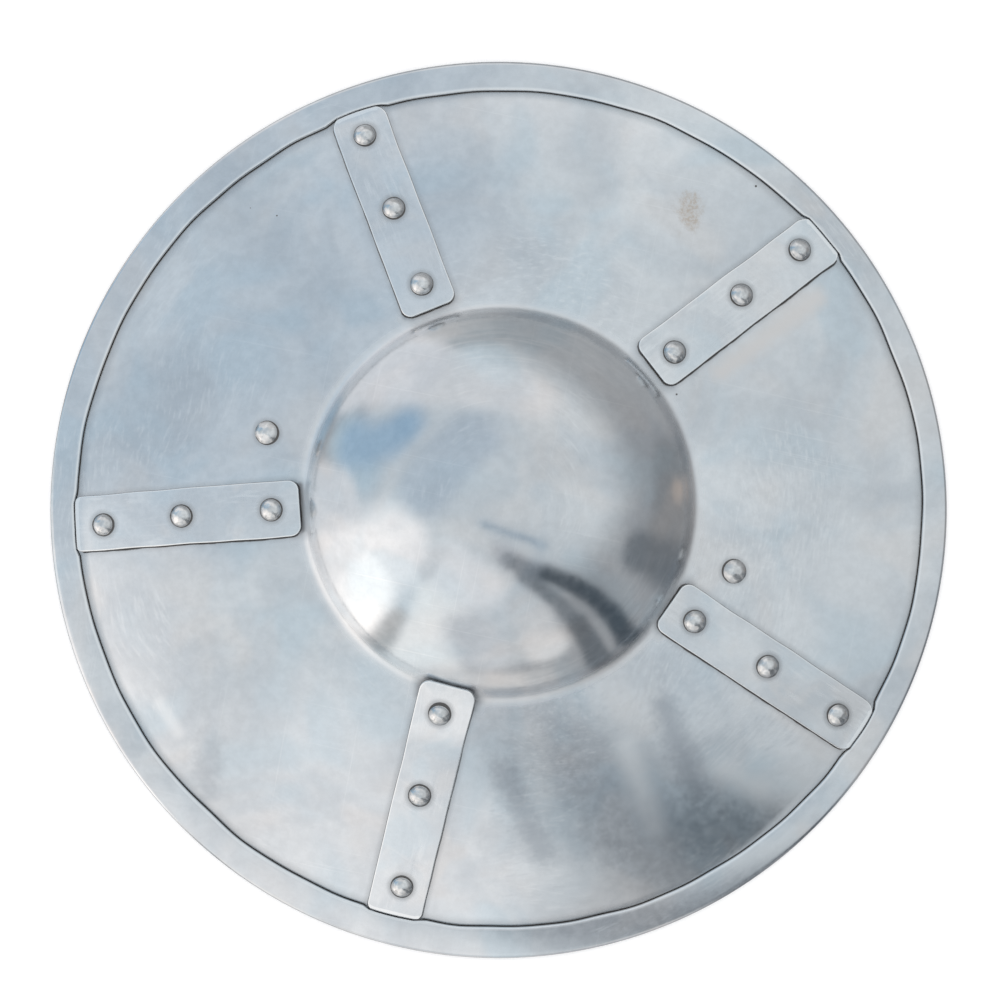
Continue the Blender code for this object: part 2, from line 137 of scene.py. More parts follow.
def cone_fall(radius):
    """How steeply the cone falls outwards at a radius, as a gradient."""
    share = (radius - CONE_FOOT_RADIUS) / (CONE_EDGE_RADIUS - CONE_FOOT_RADIUS)
    foot, edge = math.tan(CONE_FOOT_SLOPE), math.tan(CONE_EDGE_SLOPE)
    return foot + (edge - foot) * share


def bed_height(radius):
    """Height of the straight strip that the hem is folded onto."""
    return BED_END[1] + (BED_END[0] - radius) * math.tan(HEM_SLOPE)


def cone_height(radius):
    """Height of the bowed cone's front at a radius."""
    mean_fall = (cone_fall(radius) + math.tan(CONE_EDGE_SLOPE)) / 2
    return bed_height(CONE_EDGE_RADIUS) + (CONE_EDGE_RADIUS - radius) * mean_fall


FILLET_CENTRE = np.array((
    FILLET_CENTRE_RADIUS,
    cone_height(CONE_FOOT_RADIUS) + FILLET_RADIUS * math.cos(CONE_FOOT_SLOPE),
))
BOSS_EDGE = FILLET_CENTRE - FILLET_RADIUS * np.array((math.sin(BOSS_EDGE_TILT), math.cos(BOSS_EDGE_TILT)))
BOSS_SPHERE = BOSS_EDGE[0] / math.sin(BOSS_EDGE_TILT)
BOSS_CENTRE = np.array((0.0, BOSS_EDGE[1] - BOSS_SPHERE * math.cos(BOSS_EDGE_TILT)))
print("boss sphere radius, mm:", round(BOSS_SPHERE / MM, 2))


def smooth_share(start, end, value):
    """A smooth step from 0 at start to 1 at end."""
    share = np.clip((value - start) / (end - start), 0.0, 1.0)
    return share * share * (3 - 2 * share)


def arc(centre, radius, start, end, step):
    """Points on an arc in section from one angle to another, about a step apart."""
    count = max(2, math.ceil(abs(end - start) * radius / step))
    angles = np.linspace(start, end, count + 1)
    return centre + radius * np.stack((np.cos(angles), np.sin(angles)), 1)


def line(start, end, step):
    """Points on a straight line, about a step apart."""
    start, end = np.array(start), np.array(end)
    count = max(1, math.ceil(np.linalg.norm(end - start) / step))
    return start + (end - start) * np.linspace(0, 1, count + 1)[:, None]


# %% [markdown]
# The section is joined from those arcs and lines. Every point also carries three marks that later
# steps read: how much it moves with the hem's wandering edge, whether it is on the front, and, on the
# hem, how far it lies from the crevice, up the lip and over. The lip is rounded, because a cut edge
# that was hammered down is never sharp, and that small round catches the light along the crevice.

# %% Join the section and mark its points
FINE = 1.5 * MM
COARSE = 3.2 * MM
LIP_ROUND = 0.55 * MM
LIP_FOOT_ROUND = 0.2 * MM
QUARTER = math.radians(90)
FAR = 50 * MM
BESIDE_HEM = -1.0
FINEST = 0.15 * MM
FILLET_STEP = 0.32 * MM


def boss_section(depth, step):
    """The boss and its fillet, from the top outwards, at a depth below the front."""
    dome = arc(BOSS_CENTRE, BOSS_SPHERE - depth, QUARTER, QUARTER - BOSS_EDGE_TILT, step)
    fillet = arc(FILLET_CENTRE, FILLET_RADIUS + depth, -QUARTER - BOSS_EDGE_TILT,
                 -QUARTER - CONE_FOOT_SLOPE, FILLET_STEP)
    dome[0, 0] = 0.0
    return np.concatenate((dome, fillet[1:]))


def cone_section(depth, step):
    """The bowed cone from the fillet to the hem, without its first point, at a depth below the front."""
    count = math.ceil((CONE_EDGE_RADIUS - CONE_FOOT_RADIUS) / step)
    points = []
    for radius in np.linspace(CONE_FOOT_RADIUS, CONE_EDGE_RADIUS, count + 1)[1:]:
        slope = math.atan(cone_fall(radius))
        points.append((radius - depth * math.sin(slope), cone_height(radius) - depth * math.cos(slope)))
    points[-1] = (points[-1][0] + depth * 0.06, points[-1][1])
    return np.array(points)


def hem_section():
    """The hem: along its underside to the lip, round the lip, and out along its top to the fold.

    Returns its points, and how far each lies from the crevice."""
    lip_length = (FOLD_CENTRE[0] + FOLD_INSIDE * UP_SLOPE[0] - HEM_EDGE_RADIUS) / DOWN_SLOPE[0]
    under = FOLD_CENTRE + UP_SLOPE * FOLD_INSIDE
    over = FOLD_CENTRE + UP_SLOPE * FOLD_OUTSIDE
    lip_centre = over - DOWN_SLOPE * (lip_length - LIP_ROUND) - UP_SLOPE * LIP_ROUND
    lip_top = arc(lip_centre, LIP_ROUND, 2 * QUARTER - HEM_SLOPE, QUARTER - HEM_SLOPE, 0.16 * MM)
    foot_centre = under - DOWN_SLOPE * (lip_length - LIP_FOOT_ROUND) + UP_SLOPE * LIP_FOOT_ROUND
    lip_foot = arc(foot_centre, LIP_FOOT_ROUND, 3 * QUARTER - HEM_SLOPE, 2 * QUARTER - HEM_SLOPE, FINEST)
    top = line(lip_top[-1], over, 1.0 * MM)
    top += UP_SLOPE * (HEM_CROWN * np.sin(np.linspace(0, math.pi, len(top))))[:, None]
    points = np.concatenate((line(under, lip_foot[0], COARSE), lip_foot[1:], lip_top, top[1:]))
    rise = (points - under) @ UP_SLOPE
    past_lip = np.maximum((points - lip_top[-1]) @ DOWN_SLOPE, 0) * (rise > SHEET / 2)
    return points, rise + past_lip


def sheet_section():
    """The whole sheet in section, with each point's marks, by name."""
    flat_angle = -math.asin(SHEET / FOLD_OUTSIDE)
    back_foot = FOLD_CENTRE - UP_SLOPE * FOLD_OUTSIDE
    flat_end = np.array((back_foot[0] + back_foot[1] / math.tan(HEM_SLOPE), 0.0))
    front = np.concatenate((boss_section(0.0, FINE), cone_section(0.0, FINE)))
    crevice = np.array((HEM_EDGE_RADIUS, bed_height(HEM_EDGE_RADIUS)))
    back = np.concatenate((boss_section(SHEET, COARSE), cone_section(SHEET, COARSE)))[::-1]
    hem, from_crevice = hem_section()
    inside_fold = arc(FOLD_CENTRE, FOLD_INSIDE, -QUARTER - HEM_SLOPE, QUARTER - HEM_SLOPE, 0.12 * MM)
    upper_fold = arc(FOLD_CENTRE, FOLD_OUTSIDE, QUARTER - HEM_SLOPE, 0, 0.35 * MM)
    lower_fold = arc(FOLD_CENTRE, FOLD_OUTSIDE, 0, flat_angle, 0.35 * MM)
    # Each run: its points, whether it is on the hem, whether it is on the front, and its hem gap
    runs = [
        (front, 0, 1, BESIDE_HEM),
        (line(front[-1], crevice, FINE)[1:], 0, 1, BESIDE_HEM),
        (line(crevice, BED_END, COARSE)[1:], 0, 0, BESIDE_HEM),
        (inside_fold[1:-1], 0, 0, 0),
        (hem, 1, 1, from_crevice),
        (upper_fold[1:], 0, 1, FAR),
        (lower_fold[1:], 0, 0, FAR),
        (flat_end[None], 0, 0, FAR),
        (line(flat_end, back[0], COARSE)[1:], 0, 0, FAR),
        (back[1:], 0, 0, FAR),
    ]
    points = np.concatenate([run[0] for run in runs])
    on_hem, side, gap = (np.concatenate([np.broadcast_to(run[mark], len(run[0])) for run in runs])
                         for mark in (1, 2, 3))
    to_fold = (FOLD_CENTRE[0] - points[:, 0]) / (FOLD_CENTRE[0] - HEM_EDGE_RADIUS)
    return points, {"hem_share": on_hem * np.clip(to_fold, 0, 1), "front_side": side, "hem_gap": gap}


section, section_marks = sheet_section()
print("points in the section:", len(section))

# %% [markdown]
# ## Where the straps are
#
# The straps were laid by hand: they point a little past the middle, and no two are the same length.
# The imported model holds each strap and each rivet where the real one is, so the lines are read back
# from there. Seen from above, a strap is narrowest when it is looked at straight along its length, so
# its heading is found by turning a line until the strap's points spread least across it.

# %% Read each strap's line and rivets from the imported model
STRAP_COUNT = 5
STRAP_CORNER = 3.8 * MM
RIVET_PLACES = ("inner", "middle", "outer")


def seen_from_above(node):
    """A node's points as (x, y)."""
    return np.array([vertex.co[:2] for vertex in frame["nodes"][node].data.vertices])


def rivet_place(node):
    """Where a rivet's axis stands, from its box."""
    low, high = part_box(node)
    return np.array((low + high)[:2]) / 2


def spread_across(points, heading):
    """The span of points measured across a heading, as (least, greatest)."""
    across = points @ np.array((-math.sin(heading), math.cos(heading)))
    return across.min(), across.max()


def read_strap(number):
    """The strap's heading, centreline offset, ends, width and rivets."""
    points = seen_from_above(f"strap_{number}")
    middle = points.mean(0)
    rough = math.atan2(middle[1], middle[0])
    headings = rough + np.radians(np.arange(-6, 6, 0.02))
    heading = min(headings, key=lambda turn: np.ptp(spread_across(points, turn)))
    low, high = spread_across(points, heading)
    along = points @ np.array((math.cos(heading), math.sin(heading)))
    return {
        "heading": heading, "offset": (low + high) / 2, "width": high - low,
        "inner": along.min(), "outer": along.max(),
        "rivets": [rivet_place(f"strap_{number}_rivet_{where}") for where in RIVET_PLACES],
    }


straps = [read_strap(number) for number in range(1, STRAP_COUNT + 1)]
for number, strap in enumerate(straps, start=1):
    print(f"strap {number}: heading {math.degrees(strap['heading']) % 360:.1f} degrees,",
          f"offset {strap['offset'] / MM:.1f} mm, width {strap['width'] / MM:.2f} mm,",
          f"from {strap['inner'] / MM:.1f} to {strap['outer'] / MM:.1f} mm")


def strap_frame(strap):
    """The strap's forward and sideways directions, seen from above."""
    forward = np.array((math.cos(strap["heading"]), math.sin(strap["heading"])))
    return forward, np.array((-forward[1], forward[0]))


# %% [markdown]
# ## The hem's edge
#
# The hem was turned over with a hammer, a little at a time, so its inner edge isn't a true circle. It
# leans to one side by about a millimetre, it has slight flats where the blows fell, and it is pushed
# out where the end of a strap was in the way. The rule for that is one radius for each heading round
# the rim: a circle, two slow waves, a few short ones with a fixed seed, and one bump for each strap.

# %% The hem's edge as a rule, with one value for each segment of the plate
SEGMENTS = 400
HEM_LEAN = (0.6 * MM, 0.5 * MM, 0.9 * MM)
HEM_WANDER = 0.42 * MM
HEM_SEED = 11
STRAP_PUSH = 1.0 * MM
PUSH_REACH = (1.0 * MM, 1.6 * MM)
headings = np.arange(SEGMENTS) * math.tau / SEGMENTS


def hammered_wander(angles, seed, size, slowest, fastest):
    """A smooth closed wander round the rim, made of whole waves."""
    draw = np.random.default_rng(seed)
    counts = np.arange(slowest, fastest)
    phases = draw.uniform(0, math.tau, len(counts))
    heights = draw.normal(0, 1, len(counts)) / np.sqrt(counts)
    waves = (heights[:, None] * np.cos(counts[:, None] * angles + phases[:, None])).sum(0)
    return size * waves / np.abs(waves).max()


def strap_end_heading(strap):
    """The heading round the rim at which a strap's middle meets the hem."""
    forward, sideways = strap_frame(strap)
    end = forward * strap["outer"] + sideways * strap["offset"]
    return math.atan2(end[1], end[0])


def hem_edge_sway():
    """How far the hem's edge is off its circle, for each segment."""
    lean, slope, oval = HEM_LEAN
    sway = lean * np.cos(headings) + slope * np.sin(headings) + oval * np.cos(2 * headings)
    sway += hammered_wander(headings, HEM_SEED, HEM_WANDER, 7, 46)
    for strap in straps:
        turn = (headings - strap_end_heading(strap) + math.pi) % math.tau - math.pi
        reach = np.abs(turn) * HEM_EDGE_RADIUS
        half = strap["width"] / 2
        sway += STRAP_PUSH * smooth_share(half + PUSH_REACH[0], half - PUSH_REACH[1], reach)
    return sway


hem_sway = hem_edge_sway()


def hem_edge(angle):
    """Radius of the hem's edge at any heading."""
    turns = (np.asarray(angle) % math.tau) / math.tau * SEGMENTS
    return HEM_EDGE_RADIUS + np.interp(turns, np.arange(SEGMENTS + 1), np.append(hem_sway, hem_sway[0]))


print(f"hem edge radius from {(HEM_EDGE_RADIUS + hem_sway.min()) / MM:.1f}",
      f"to {(HEM_EDGE_RADIUS + hem_sway.max()) / MM:.1f} mm")

# %% [markdown]
# ## Turning the plate with Geometry Nodes
#
# The Screw modifier turns a section into a round dish in one step, but this dish isn't quite round:
# the boss is a little off the rim's centre, the hem's edge wanders, and the sheet has the slow waves
# that hammering leaves. Geometry Nodes can say all of it as one rule. A grid has one column for each
# segment and one row for each point of the section. Every grid point looks up its section point by its
# row, its hem sway by its column, and is swung round the axis by its column's angle.
#
# The section and the hem's sway come in as two small guide objects. A helper keeps the tree short to
# write: it adds a node, sets what it is given and returns it.

# %% Helpers to build a Geometry Nodes tree and to make its result plain
def add_input(tree, name, kind, default=None):
    """A named input of the tree. Returns the identifier that a modifier sets it by."""
    socket = tree.interface.new_socket(name=name, in_out='INPUT', socket_type=kind)
    if default is not None:
        socket.default_value = default
    return socket.identifier


def add_node(tree, kind, settings=None, **inputs):
    """Add a node, set its properties and its inputs. An input is a value or another node's output."""
    node = tree.nodes.new(kind)
    for name, value in (settings or {}).items():
        setattr(node, name, value)
    for name, value in inputs.items():
        key = int(name[1:]) if name[0] == "_" else name.replace("_", " ")
        if isinstance(value, bpy.types.NodeSocket):
            tree.links.new(value, node.inputs[key])
        else:
            node.inputs[key].default_value = value
    return node


def calc(tree, operation, *values):
    """A Math node on up to three values."""
    inputs = {f"_{index}": value for index, value in enumerate(values)}
    return add_node(tree, 'ShaderNodeMath', {"operation": operation}, **inputs).outputs[0]


def times(tree, value, factor):
    """A number made larger or smaller by a factor."""
    return calc(tree, 'MULTIPLY', value, factor)


def vector_calc(tree, operation, *values):
    """A Vector Math node. Returns its vector, or its number where it has one."""
    inputs = {f"_{index}": value for index, value in enumerate(values)}
    node = add_node(tree, 'ShaderNodeVectorMath', {"operation": operation}, **inputs)
    return node.outputs["Value" if operation in ('LENGTH', 'DOT_PRODUCT', 'DISTANCE') else "Vector"]


def scale_vector(tree, vector, factor):
    """A vector made longer or shorter by a number."""
    node = add_node(tree, 'ShaderNodeVectorMath', {"operation": 'SCALE'}, _0=vector, Scale=factor)
    return node.outputs[0]


def upwards(tree, height):
    """A vector straight up."""
    return add_node(tree, 'ShaderNodeCombineXYZ', Z=height).outputs[0]


def swing(tree, vector, angle):
    """A vector turned about Z."""
    return add_node(tree, 'ShaderNodeVectorRotate', {"rotation_type": 'Z_AXIS'}, Vector=vector,
                    Angle=angle).outputs[0]


def step(tree, value, start, end):
    """A smooth step from 0 at start to 1 at end."""
    return add_node(tree, 'ShaderNodeMapRange', {"interpolation_type": 'SMOOTHSTEP'}, Value=value,
                    From_Min=start, From_Max=end).outputs[0]


def carry(tree, geometry, label, value, kind='FLOAT'):
    """A geometry whose points carry a value from here on."""
    return add_node(tree, 'GeometryNodeStoreNamedAttribute', {"data_type": kind, "domain": 'POINT'},
                    Geometry=geometry, Name=label, Value=value).outputs[0]


def carried(tree, label, kind='FLOAT'):
    """The value that a point carries."""
    return add_node(tree, 'GeometryNodeInputNamedAttribute', {"data_type": kind},
                    Name=label).outputs["Attribute"]


def end_tree(tree, geometry, steel):
    """End a tree as real mesh with its material."""
    solid = add_node(tree, 'GeometryNodeRealizeInstances', _0=geometry).outputs[0]
    painted = add_node(tree, 'GeometryNodeSetMaterial', Geometry=solid, Material=steel).outputs[0]
    add_node(tree, 'NodeGroupOutput', _0=painted)


def new_object(name, data):
    """A new object in the scene, standing at the origin."""
    thing = bpy.data.objects.new(name, data)
    bpy.context.scene.collection.objects.link(thing)
    return thing


def store_marks(mesh, label, values):
    """Store a mark, which is a number, for every point of a mesh."""
    if label not in mesh.attributes:
        mesh.attributes.new(label, 'FLOAT', 'POINT')
    mesh.attributes[label].data.foreach_set("value", np.float32(values))


def guide_object(name, points, marks):
    """A guide of loose points with their marks, in row order."""
    mesh = bpy.data.meshes.new(name)
    mesh.from_pydata([tuple(point) for point in points], [], [])
    for label, values in marks.items():
        store_marks(mesh, label, values)
    return new_object(name, mesh)


def grown_mesh(name, start, tree, values):
    """Run a tree on an object, and return a new plain object that holds the result."""
    modifier = start.modifiers.new(name, 'NODES')
    modifier.node_group = tree
    for identifier, value in values.items():
        modifier[identifier] = value
    bpy.context.view_layer.update()
    mesh = bpy.data.meshes.new_from_object(start.evaluated_get(bpy.context.evaluated_depsgraph_get()))
    mesh.name = name
    start.modifiers.remove(modifier)
    return new_object(name, mesh)


def remove_objects(*things):
    """Take guides out of the scene."""
    for thing in things:
        bpy.data.objects.remove(thing, do_unlink=True)


# %% The tree that turns the sheet
CALM_RIM = 30 * MM
CALM_TOP = 12 * MM
WELD = 0.002 * MM


def turned_sheet_tree():
    """Turn a section about Z, with a wandering hem, a shifted boss and hammered waves."""
    tree = bpy.data.node_groups.new("turned sheet", 'GeometryNodeTree')
    ids = {
        "section": add_input(tree, "Section", 'NodeSocketObject'),
        "hem": add_input(tree, "Hem Line", 'NodeSocketObject'),
        "rows": add_input(tree, "Section Points", 'NodeSocketInt', 100),
        "segments": add_input(tree, "Segments", 'NodeSocketInt', 100),
        "shift": add_input(tree, "Boss Shift", 'NodeSocketVector'),
        "foot": add_input(tree, "Boss Foot Radius", 'NodeSocketFloat', 0.076),
        "edge": add_input(tree, "Hem Edge Radius", 'NodeSocketFloat', 0.159),
        "wave": add_input(tree, "Wave Height", 'NodeSocketFloat', 0.0001),
        "waves": add_input(tree, "Waves Per Metre", 'NodeSocketFloat', 20.0),
        "seed": add_input(tree, "Seed", 'NodeSocketFloat', 4.0),
        "steel": add_input(tree, "Steel", 'NodeSocketMaterial'),
    }
    tree.interface.new_socket(name="Sheet", in_out='OUTPUT', socket_type='NodeSocketGeometry')
    given = tree.nodes.new('NodeGroupInput').outputs
    rows, segments = given["Section Points"], given["Segments"]
    grid = add_node(tree, 'GeometryNodeMeshGrid', Size_X=1.0, Size_Y=1.0,
                    Vertices_X=calc(tree, 'ADD', segments, 1.0), Vertices_Y=rows).outputs["Mesh"]

    index = tree.nodes.new('GeometryNodeInputIndex').outputs[0]
    column = calc(tree, 'FLOOR', calc(tree, 'DIVIDE', calc(tree, 'ADD', index, 0.5), rows))
    row = calc(tree, 'SUBTRACT', index, times(tree, column, rows))
    wrapped = calc(tree, 'FLOORED_MODULO', column, segments)
    angle = times(tree, calc(tree, 'DIVIDE', wrapped, segments), math.tau)

    def looked_up(guide, value, place, kind='FLOAT'):
        """What a point of a guide says, by that point's number."""
        source = add_node(tree, 'GeometryNodeObjectInfo', Object=given[guide]).outputs["Geometry"]
        return add_node(tree, 'GeometryNodeSampleIndex', {"data_type": kind, "clamp": True},
                        Geometry=source, Value=value, Index=place).outputs["Value"]

    position = tree.nodes.new('GeometryNodeInputPosition').outputs[0]
    place = looked_up("Section", position, row, 'FLOAT_VECTOR')
    marks = {label: looked_up("Section", carried(tree, label), row) for label in section_marks}
    sway = looked_up("Hem Line", carried(tree, "sway"), wrapped)

    slide = scale_vector(tree, (1.0, 0.0, -math.tan(HEM_SLOPE)), times(tree, marks["hem_share"], sway))
    swung = swing(tree, vector_calc(tree, 'ADD', place, slide), angle)
    radius = add_node(tree, 'ShaderNodeSeparateXYZ', _0=place).outputs[0]
    boss_share = step(tree, radius, given["Hem Edge Radius"], given["Boss Foot Radius"])
    shifted = vector_calc(tree, 'ADD', swung, scale_vector(tree, given["Boss Shift"], boss_share))

    flat = vector_calc(tree, 'MULTIPLY', shifted, (1.0, 1.0, 0.0))
    waves = add_node(tree, 'ShaderNodeTexNoise', {"noise_dimensions": '4D'}, Vector=flat, W=given["Seed"],
                     Scale=given["Waves Per Metre"], Detail=1.0, Roughness=0.4).outputs[0]
    rise = times(tree, calc(tree, 'SUBTRACT', waves, 0.5), given["Wave Height"])
    rise = times(tree, rise, step(tree, radius, FOLD_CENTRE[0], FOLD_CENTRE[0] - CALM_RIM))
    rise = times(tree, rise, step(tree, radius, 0.0, CALM_TOP))
    waved = vector_calc(tree, 'ADD', shifted, upwards(tree, rise))

    marked = grid
    for label, value in marks.items():
        marked = carry(tree, marked, label, value)
    placed = add_node(tree, 'GeometryNodeSetPosition', Geometry=marked, Position=waved).outputs[0]
    closed = add_node(tree, 'GeometryNodeMergeByDistance', Geometry=placed, Distance=WELD).outputs[0]
    outwards = add_node(tree, 'GeometryNodeFlipFaces', _0=closed).outputs[0]
    smooth = add_node(tree, 'GeometryNodeSetShadeSmooth', Geometry=outwards).outputs[0]
    end_tree(tree, smooth, given["Steel"])
    return tree, ids


# %% Turn the plate
WAVE_HEIGHT = 0.5 * MM
WAVES_PER_METRE = 16.0
WAVE_SEED = 4.0
plate_steel = bpy.data.materials.new("ground plate steel")
section_guide = guide_object("section_guide", [(radius, 0.0, height) for radius, height in section],
                             section_marks)
hem_guide = guide_object("hem_guide", [(0.0, 0.0, 0.0)] * SEGMENTS, {"sway": hem_sway})
start_guide = guide_object("start_guide", [(0.0, 0.0, 0.0)], {})
sheet_tree, sheet_inputs = turned_sheet_tree()
plate = grown_mesh("plate", start_guide, sheet_tree, {
    sheet_inputs["section"]: section_guide,
    sheet_inputs["hem"]: hem_guide,
    sheet_inputs["rows"]: len(section),
    sheet_inputs["segments"]: SEGMENTS,
    sheet_inputs["shift"]: (*BOSS_SHIFT, 0.0),
    sheet_inputs["foot"]: FILLET_CENTRE_RADIUS,
    sheet_inputs["edge"]: HEM_EDGE_RADIUS,
    sheet_inputs["wave"]: WAVE_HEIGHT,
    sheet_inputs["waves"]: WAVES_PER_METRE,
    sheet_inputs["seed"]: WAVE_SEED,
    sheet_inputs["steel"]: plate_steel,
})
remove_objects(section_guide, hem_guide, start_guide)


def report_mesh(thing):
    """Print a mesh's size and whether it is closed and faces outwards."""
    bm = bmesh.new()
    bm.from_mesh(thing.data)
    open_edges = sum(1 for edge in bm.edges if not edge.is_manifold)
    triangles = sum(len(face.verts) - 2 for face in bm.faces)
    print(f"{thing.name}: {triangles} triangles, {open_edges} open edges,",
          f"{bm.calc_volume(signed=True) * 1e6:.1f} cm3")
    bm.free()


report_mesh(plate)

# %% [markdown]
# ## Laying things on the plate
#
# The straps and the rivets sit on a surface that is no longer an exact formula. A ray sent straight
# down finds it: the ray's hit gives the height and the direction the surface faces, so a piece can be
# made flat, as a length, a width and a height, and then carried onto the plate point by point.

# %% A ray from above finds the plate's front
plate_rays = BVHTree.FromPolygons([vertex.co for vertex in plate.data.vertices],
                                  [face.vertices for face in plate.data.polygons])
DOWN = Vector((0.0, 0.0, -1.0))
ABOVE = 0.2


def on_plate(x, y, height=0.0):
    """The point at a height over the plate's front, and the way the front faces there."""
    hit, normal, _, _ = plate_rays.ray_cast(Vector((x, y, ABOVE)), DOWN)
    return hit + normal * height, normal


# %% [markdown]
# ## The five straps
#
# Each strap is a strip cut from the same sheet, filed round at its corners, with its edges broken by a
# file so that they don't cut the hand. It isn't quite straight or quite flat. A strip like this can be
# lofted: rings of the same number of points, one at each station along the strap, joined by quads.
# The stations are crowded at both ends, where the corners round off, and each ring's points are
# crowded at its two edges. The outer end is bent along the hem's edge, which it almost touches.
#
# The inner ends run a few millimetres onto the foot of the boss. A flat strip can't follow that
# sudden curve, so it rides up instead, in one long easy bend. The script measures how far each end
# has to rise to clear the boss, and lifts it by just that.

# %% The section of a strap and its stations
STRAP_LIFT = 0.05 * MM
STRAP_EDGE_ROUND = 0.35 * MM
STRAP_END_GAP = 0.22 * MM
STRAP_TOP_POINTS = 15
EDGE_TURNS = np.radians((22.5, 45.0, 67.5, 90.0))
STRAP_RING = 2 * (STRAP_TOP_POINTS + len(EDGE_TURNS) + 1)
RIGHT_EDGE = STRAP_TOP_POINTS + len(EDGE_TURNS) - 1
LEFT_EDGE = STRAP_RING - len(EDGE_TURNS)
OUTER_CORNERS = (3.8 * MM, 3.8 * MM, 3.8 * MM, 2.6 * MM, 2.0 * MM)


def rounding(distance, radius):
    """How far a rounded corner of this radius has fallen back, at a distance from its end."""
    if distance >= radius:
        return 0.0
    return radius - math.sqrt(max(radius ** 2 - (radius - distance) ** 2, 0.0))


def strap_stations(length, inner_corner, outer_corner):
    """Distances from the inner end, crowded where the corners are."""
    shares = (0.0, 0.02, 0.07, 0.16, 0.3, 0.48, 0.72, 1.0)
    start = [inner_corner * share for share in shares]
    end = [length - outer_corner * share for share in reversed(shares)]
    edge = STRAP_EDGE_ROUND
    start[1:1] = [edge * 0.1, edge * 0.4]
    end[-1:-1] = [length - edge * 0.4, length - edge * 0.1]
    middle = np.linspace(start[-1], end[0], 46)[1:-1]
    return sorted(set(start) | set(end) | set(middle))


def strap_ring(half_width, drop, thickness):
    """One closed ring of (across, height) points: top, right edge, underside, left edge."""
    eased = STRAP_EDGE_ROUND
    flat = max(half_width - eased, 0.2 * MM)
    across = np.sin(np.linspace(-QUARTER, QUARTER, STRAP_TOP_POINTS)) * flat
    top = thickness - drop
    edge = [(flat + eased * math.sin(turn), top - eased * (1 - math.cos(turn))) for turn in EDGE_TURNS]
    edge.append((flat + eased, 0.1 * MM))
    under = [(value, 0.0) for value in reversed(across)]
    return [(value, top) for value in across] + edge + under + [(-out, up) for out, up in reversed(edge)]


def slow_wander(distance, seed, wavelength):
    """A smooth number between about -1 and 1 that wanders along a length."""
    return noise.noise(Vector((distance / wavelength, seed * 7.3, 0.0))) * 2


def strap_outer_end(strap, across):
    """Distance along the strap at which it meets the hem, for a place across it."""
    side = strap["offset"] + across
    along = strap["outer"]
    for _ in range(3):
        radius = hem_edge(strap["heading"] + math.atan2(side, along)) - STRAP_END_GAP
        along = math.sqrt(radius ** 2 - side ** 2)
    return along


# %% The bed that a strap lies on
STRAP_BEND = 24 * MM
BED_PROBE = 6 * MM
FOOT_MARGIN = 1.0 * MM


def front_height(strap, along, across):
    """Height of the plate's front at a place along and across a strap."""
    forward, sideways = strap_frame(strap)
    x, y = forward * along + sideways * (strap["offset"] + across)
    return on_plate(x, y)[0].z


def cone_under(strap, along, across):
    """Height of the cone under a strap, carried on straight where the boss would begin."""
    forward, sideways = strap_frame(strap)
    side = strap["offset"] + across - BOSS_SHIFT @ sideways
    clear = BOSS_SHIFT @ forward + math.sqrt((CONE_FOOT_RADIUS + FOOT_MARGIN) ** 2 - side ** 2)
    if along >= clear:
        return front_height(strap, along, across)
    start = front_height(strap, clear, across)
    slope = (start - front_height(strap, clear + BED_PROBE, across)) / BED_PROBE
    return start + slope * (clear - along)


def bend_share(strap, along):
    """0 where the strap lies flat, rising to 1 at its inner end."""
    return max(0.0, 1 - (along - strap["inner"]) / STRAP_BEND) ** 2


def needed_lift(strap):
    """How far the strap's inner end has to rise to clear the foot of the boss."""
    lifts = [0.0]
    for along in np.linspace(strap["inner"], strap["inner"] + STRAP_BEND / 2, 13):
        for across in np.linspace(-0.5, 0.5, 7) * strap["width"]:
            rise = front_height(strap, along, across) - cone_under(strap, along, across)
            lifts.append(rise / bend_share(strap, along))
    return max(lifts)


for number, strap in enumerate(straps, start=1):
    strap["lift"] = needed_lift(strap)
    print(f"strap {number}: inner end lifted {strap['lift'] / MM:.2f} mm")


def strap_bed(strap, along, across):
    """Height of the strap's underside."""
    return cone_under(strap, along, across) + strap["lift"] * bend_share(strap, along)


def on_strap(strap, along, across, height):
    """The point at a height over the strap's bed, square to it."""
    forward, sideways = strap_frame(strap)
    near = 0.5 * MM
    bed = strap_bed(strap, along, across)
    tilt_along = (strap_bed(strap, along + near, across) - bed) / near
    tilt_across = (strap_bed(strap, along, across + near) - bed) / near
    flat = forward * along + sideways * (strap["offset"] + across)
    lean = forward * tilt_along + sideways * tilt_across
    length = math.sqrt(1 + tilt_along ** 2 + tilt_across ** 2)
    return Vector((*(flat - lean * height / length), bed + height / length))


# %% Loft the straps onto the plate
END_REACH = 14 * MM
END_SKEW = 0.5 * MM
EDGE_WANDER = 0.16 * MM
FACE_RIPPLE = 0.06 * MM
RIPPLES_PER_METRE = 45


def loft(bm, rings):
    """Join rings of points with quads, and face them and the two closed ends outwards."""
    for near, far in zip(rings, rings[1:]):
        for index in range(len(near)):
            after = (index + 1) % len(near)
            bm.faces.new((near[index], near[after], far[after], far[index]))
    ends = [bm.faces.new(rings[0]), bm.faces.new(rings[-1])]
    bmesh.ops.recalc_face_normals(bm, faces=bm.faces)
    return ends


def solid_piece(bm, name, steel):
    """A smooth piece of one material."""
    mesh = bpy.data.meshes.new(name)
    bm.to_mesh(mesh)
    bm.free()
    mesh.shade_smooth()
    mesh.materials.append(steel)
    return new_object(name, mesh)


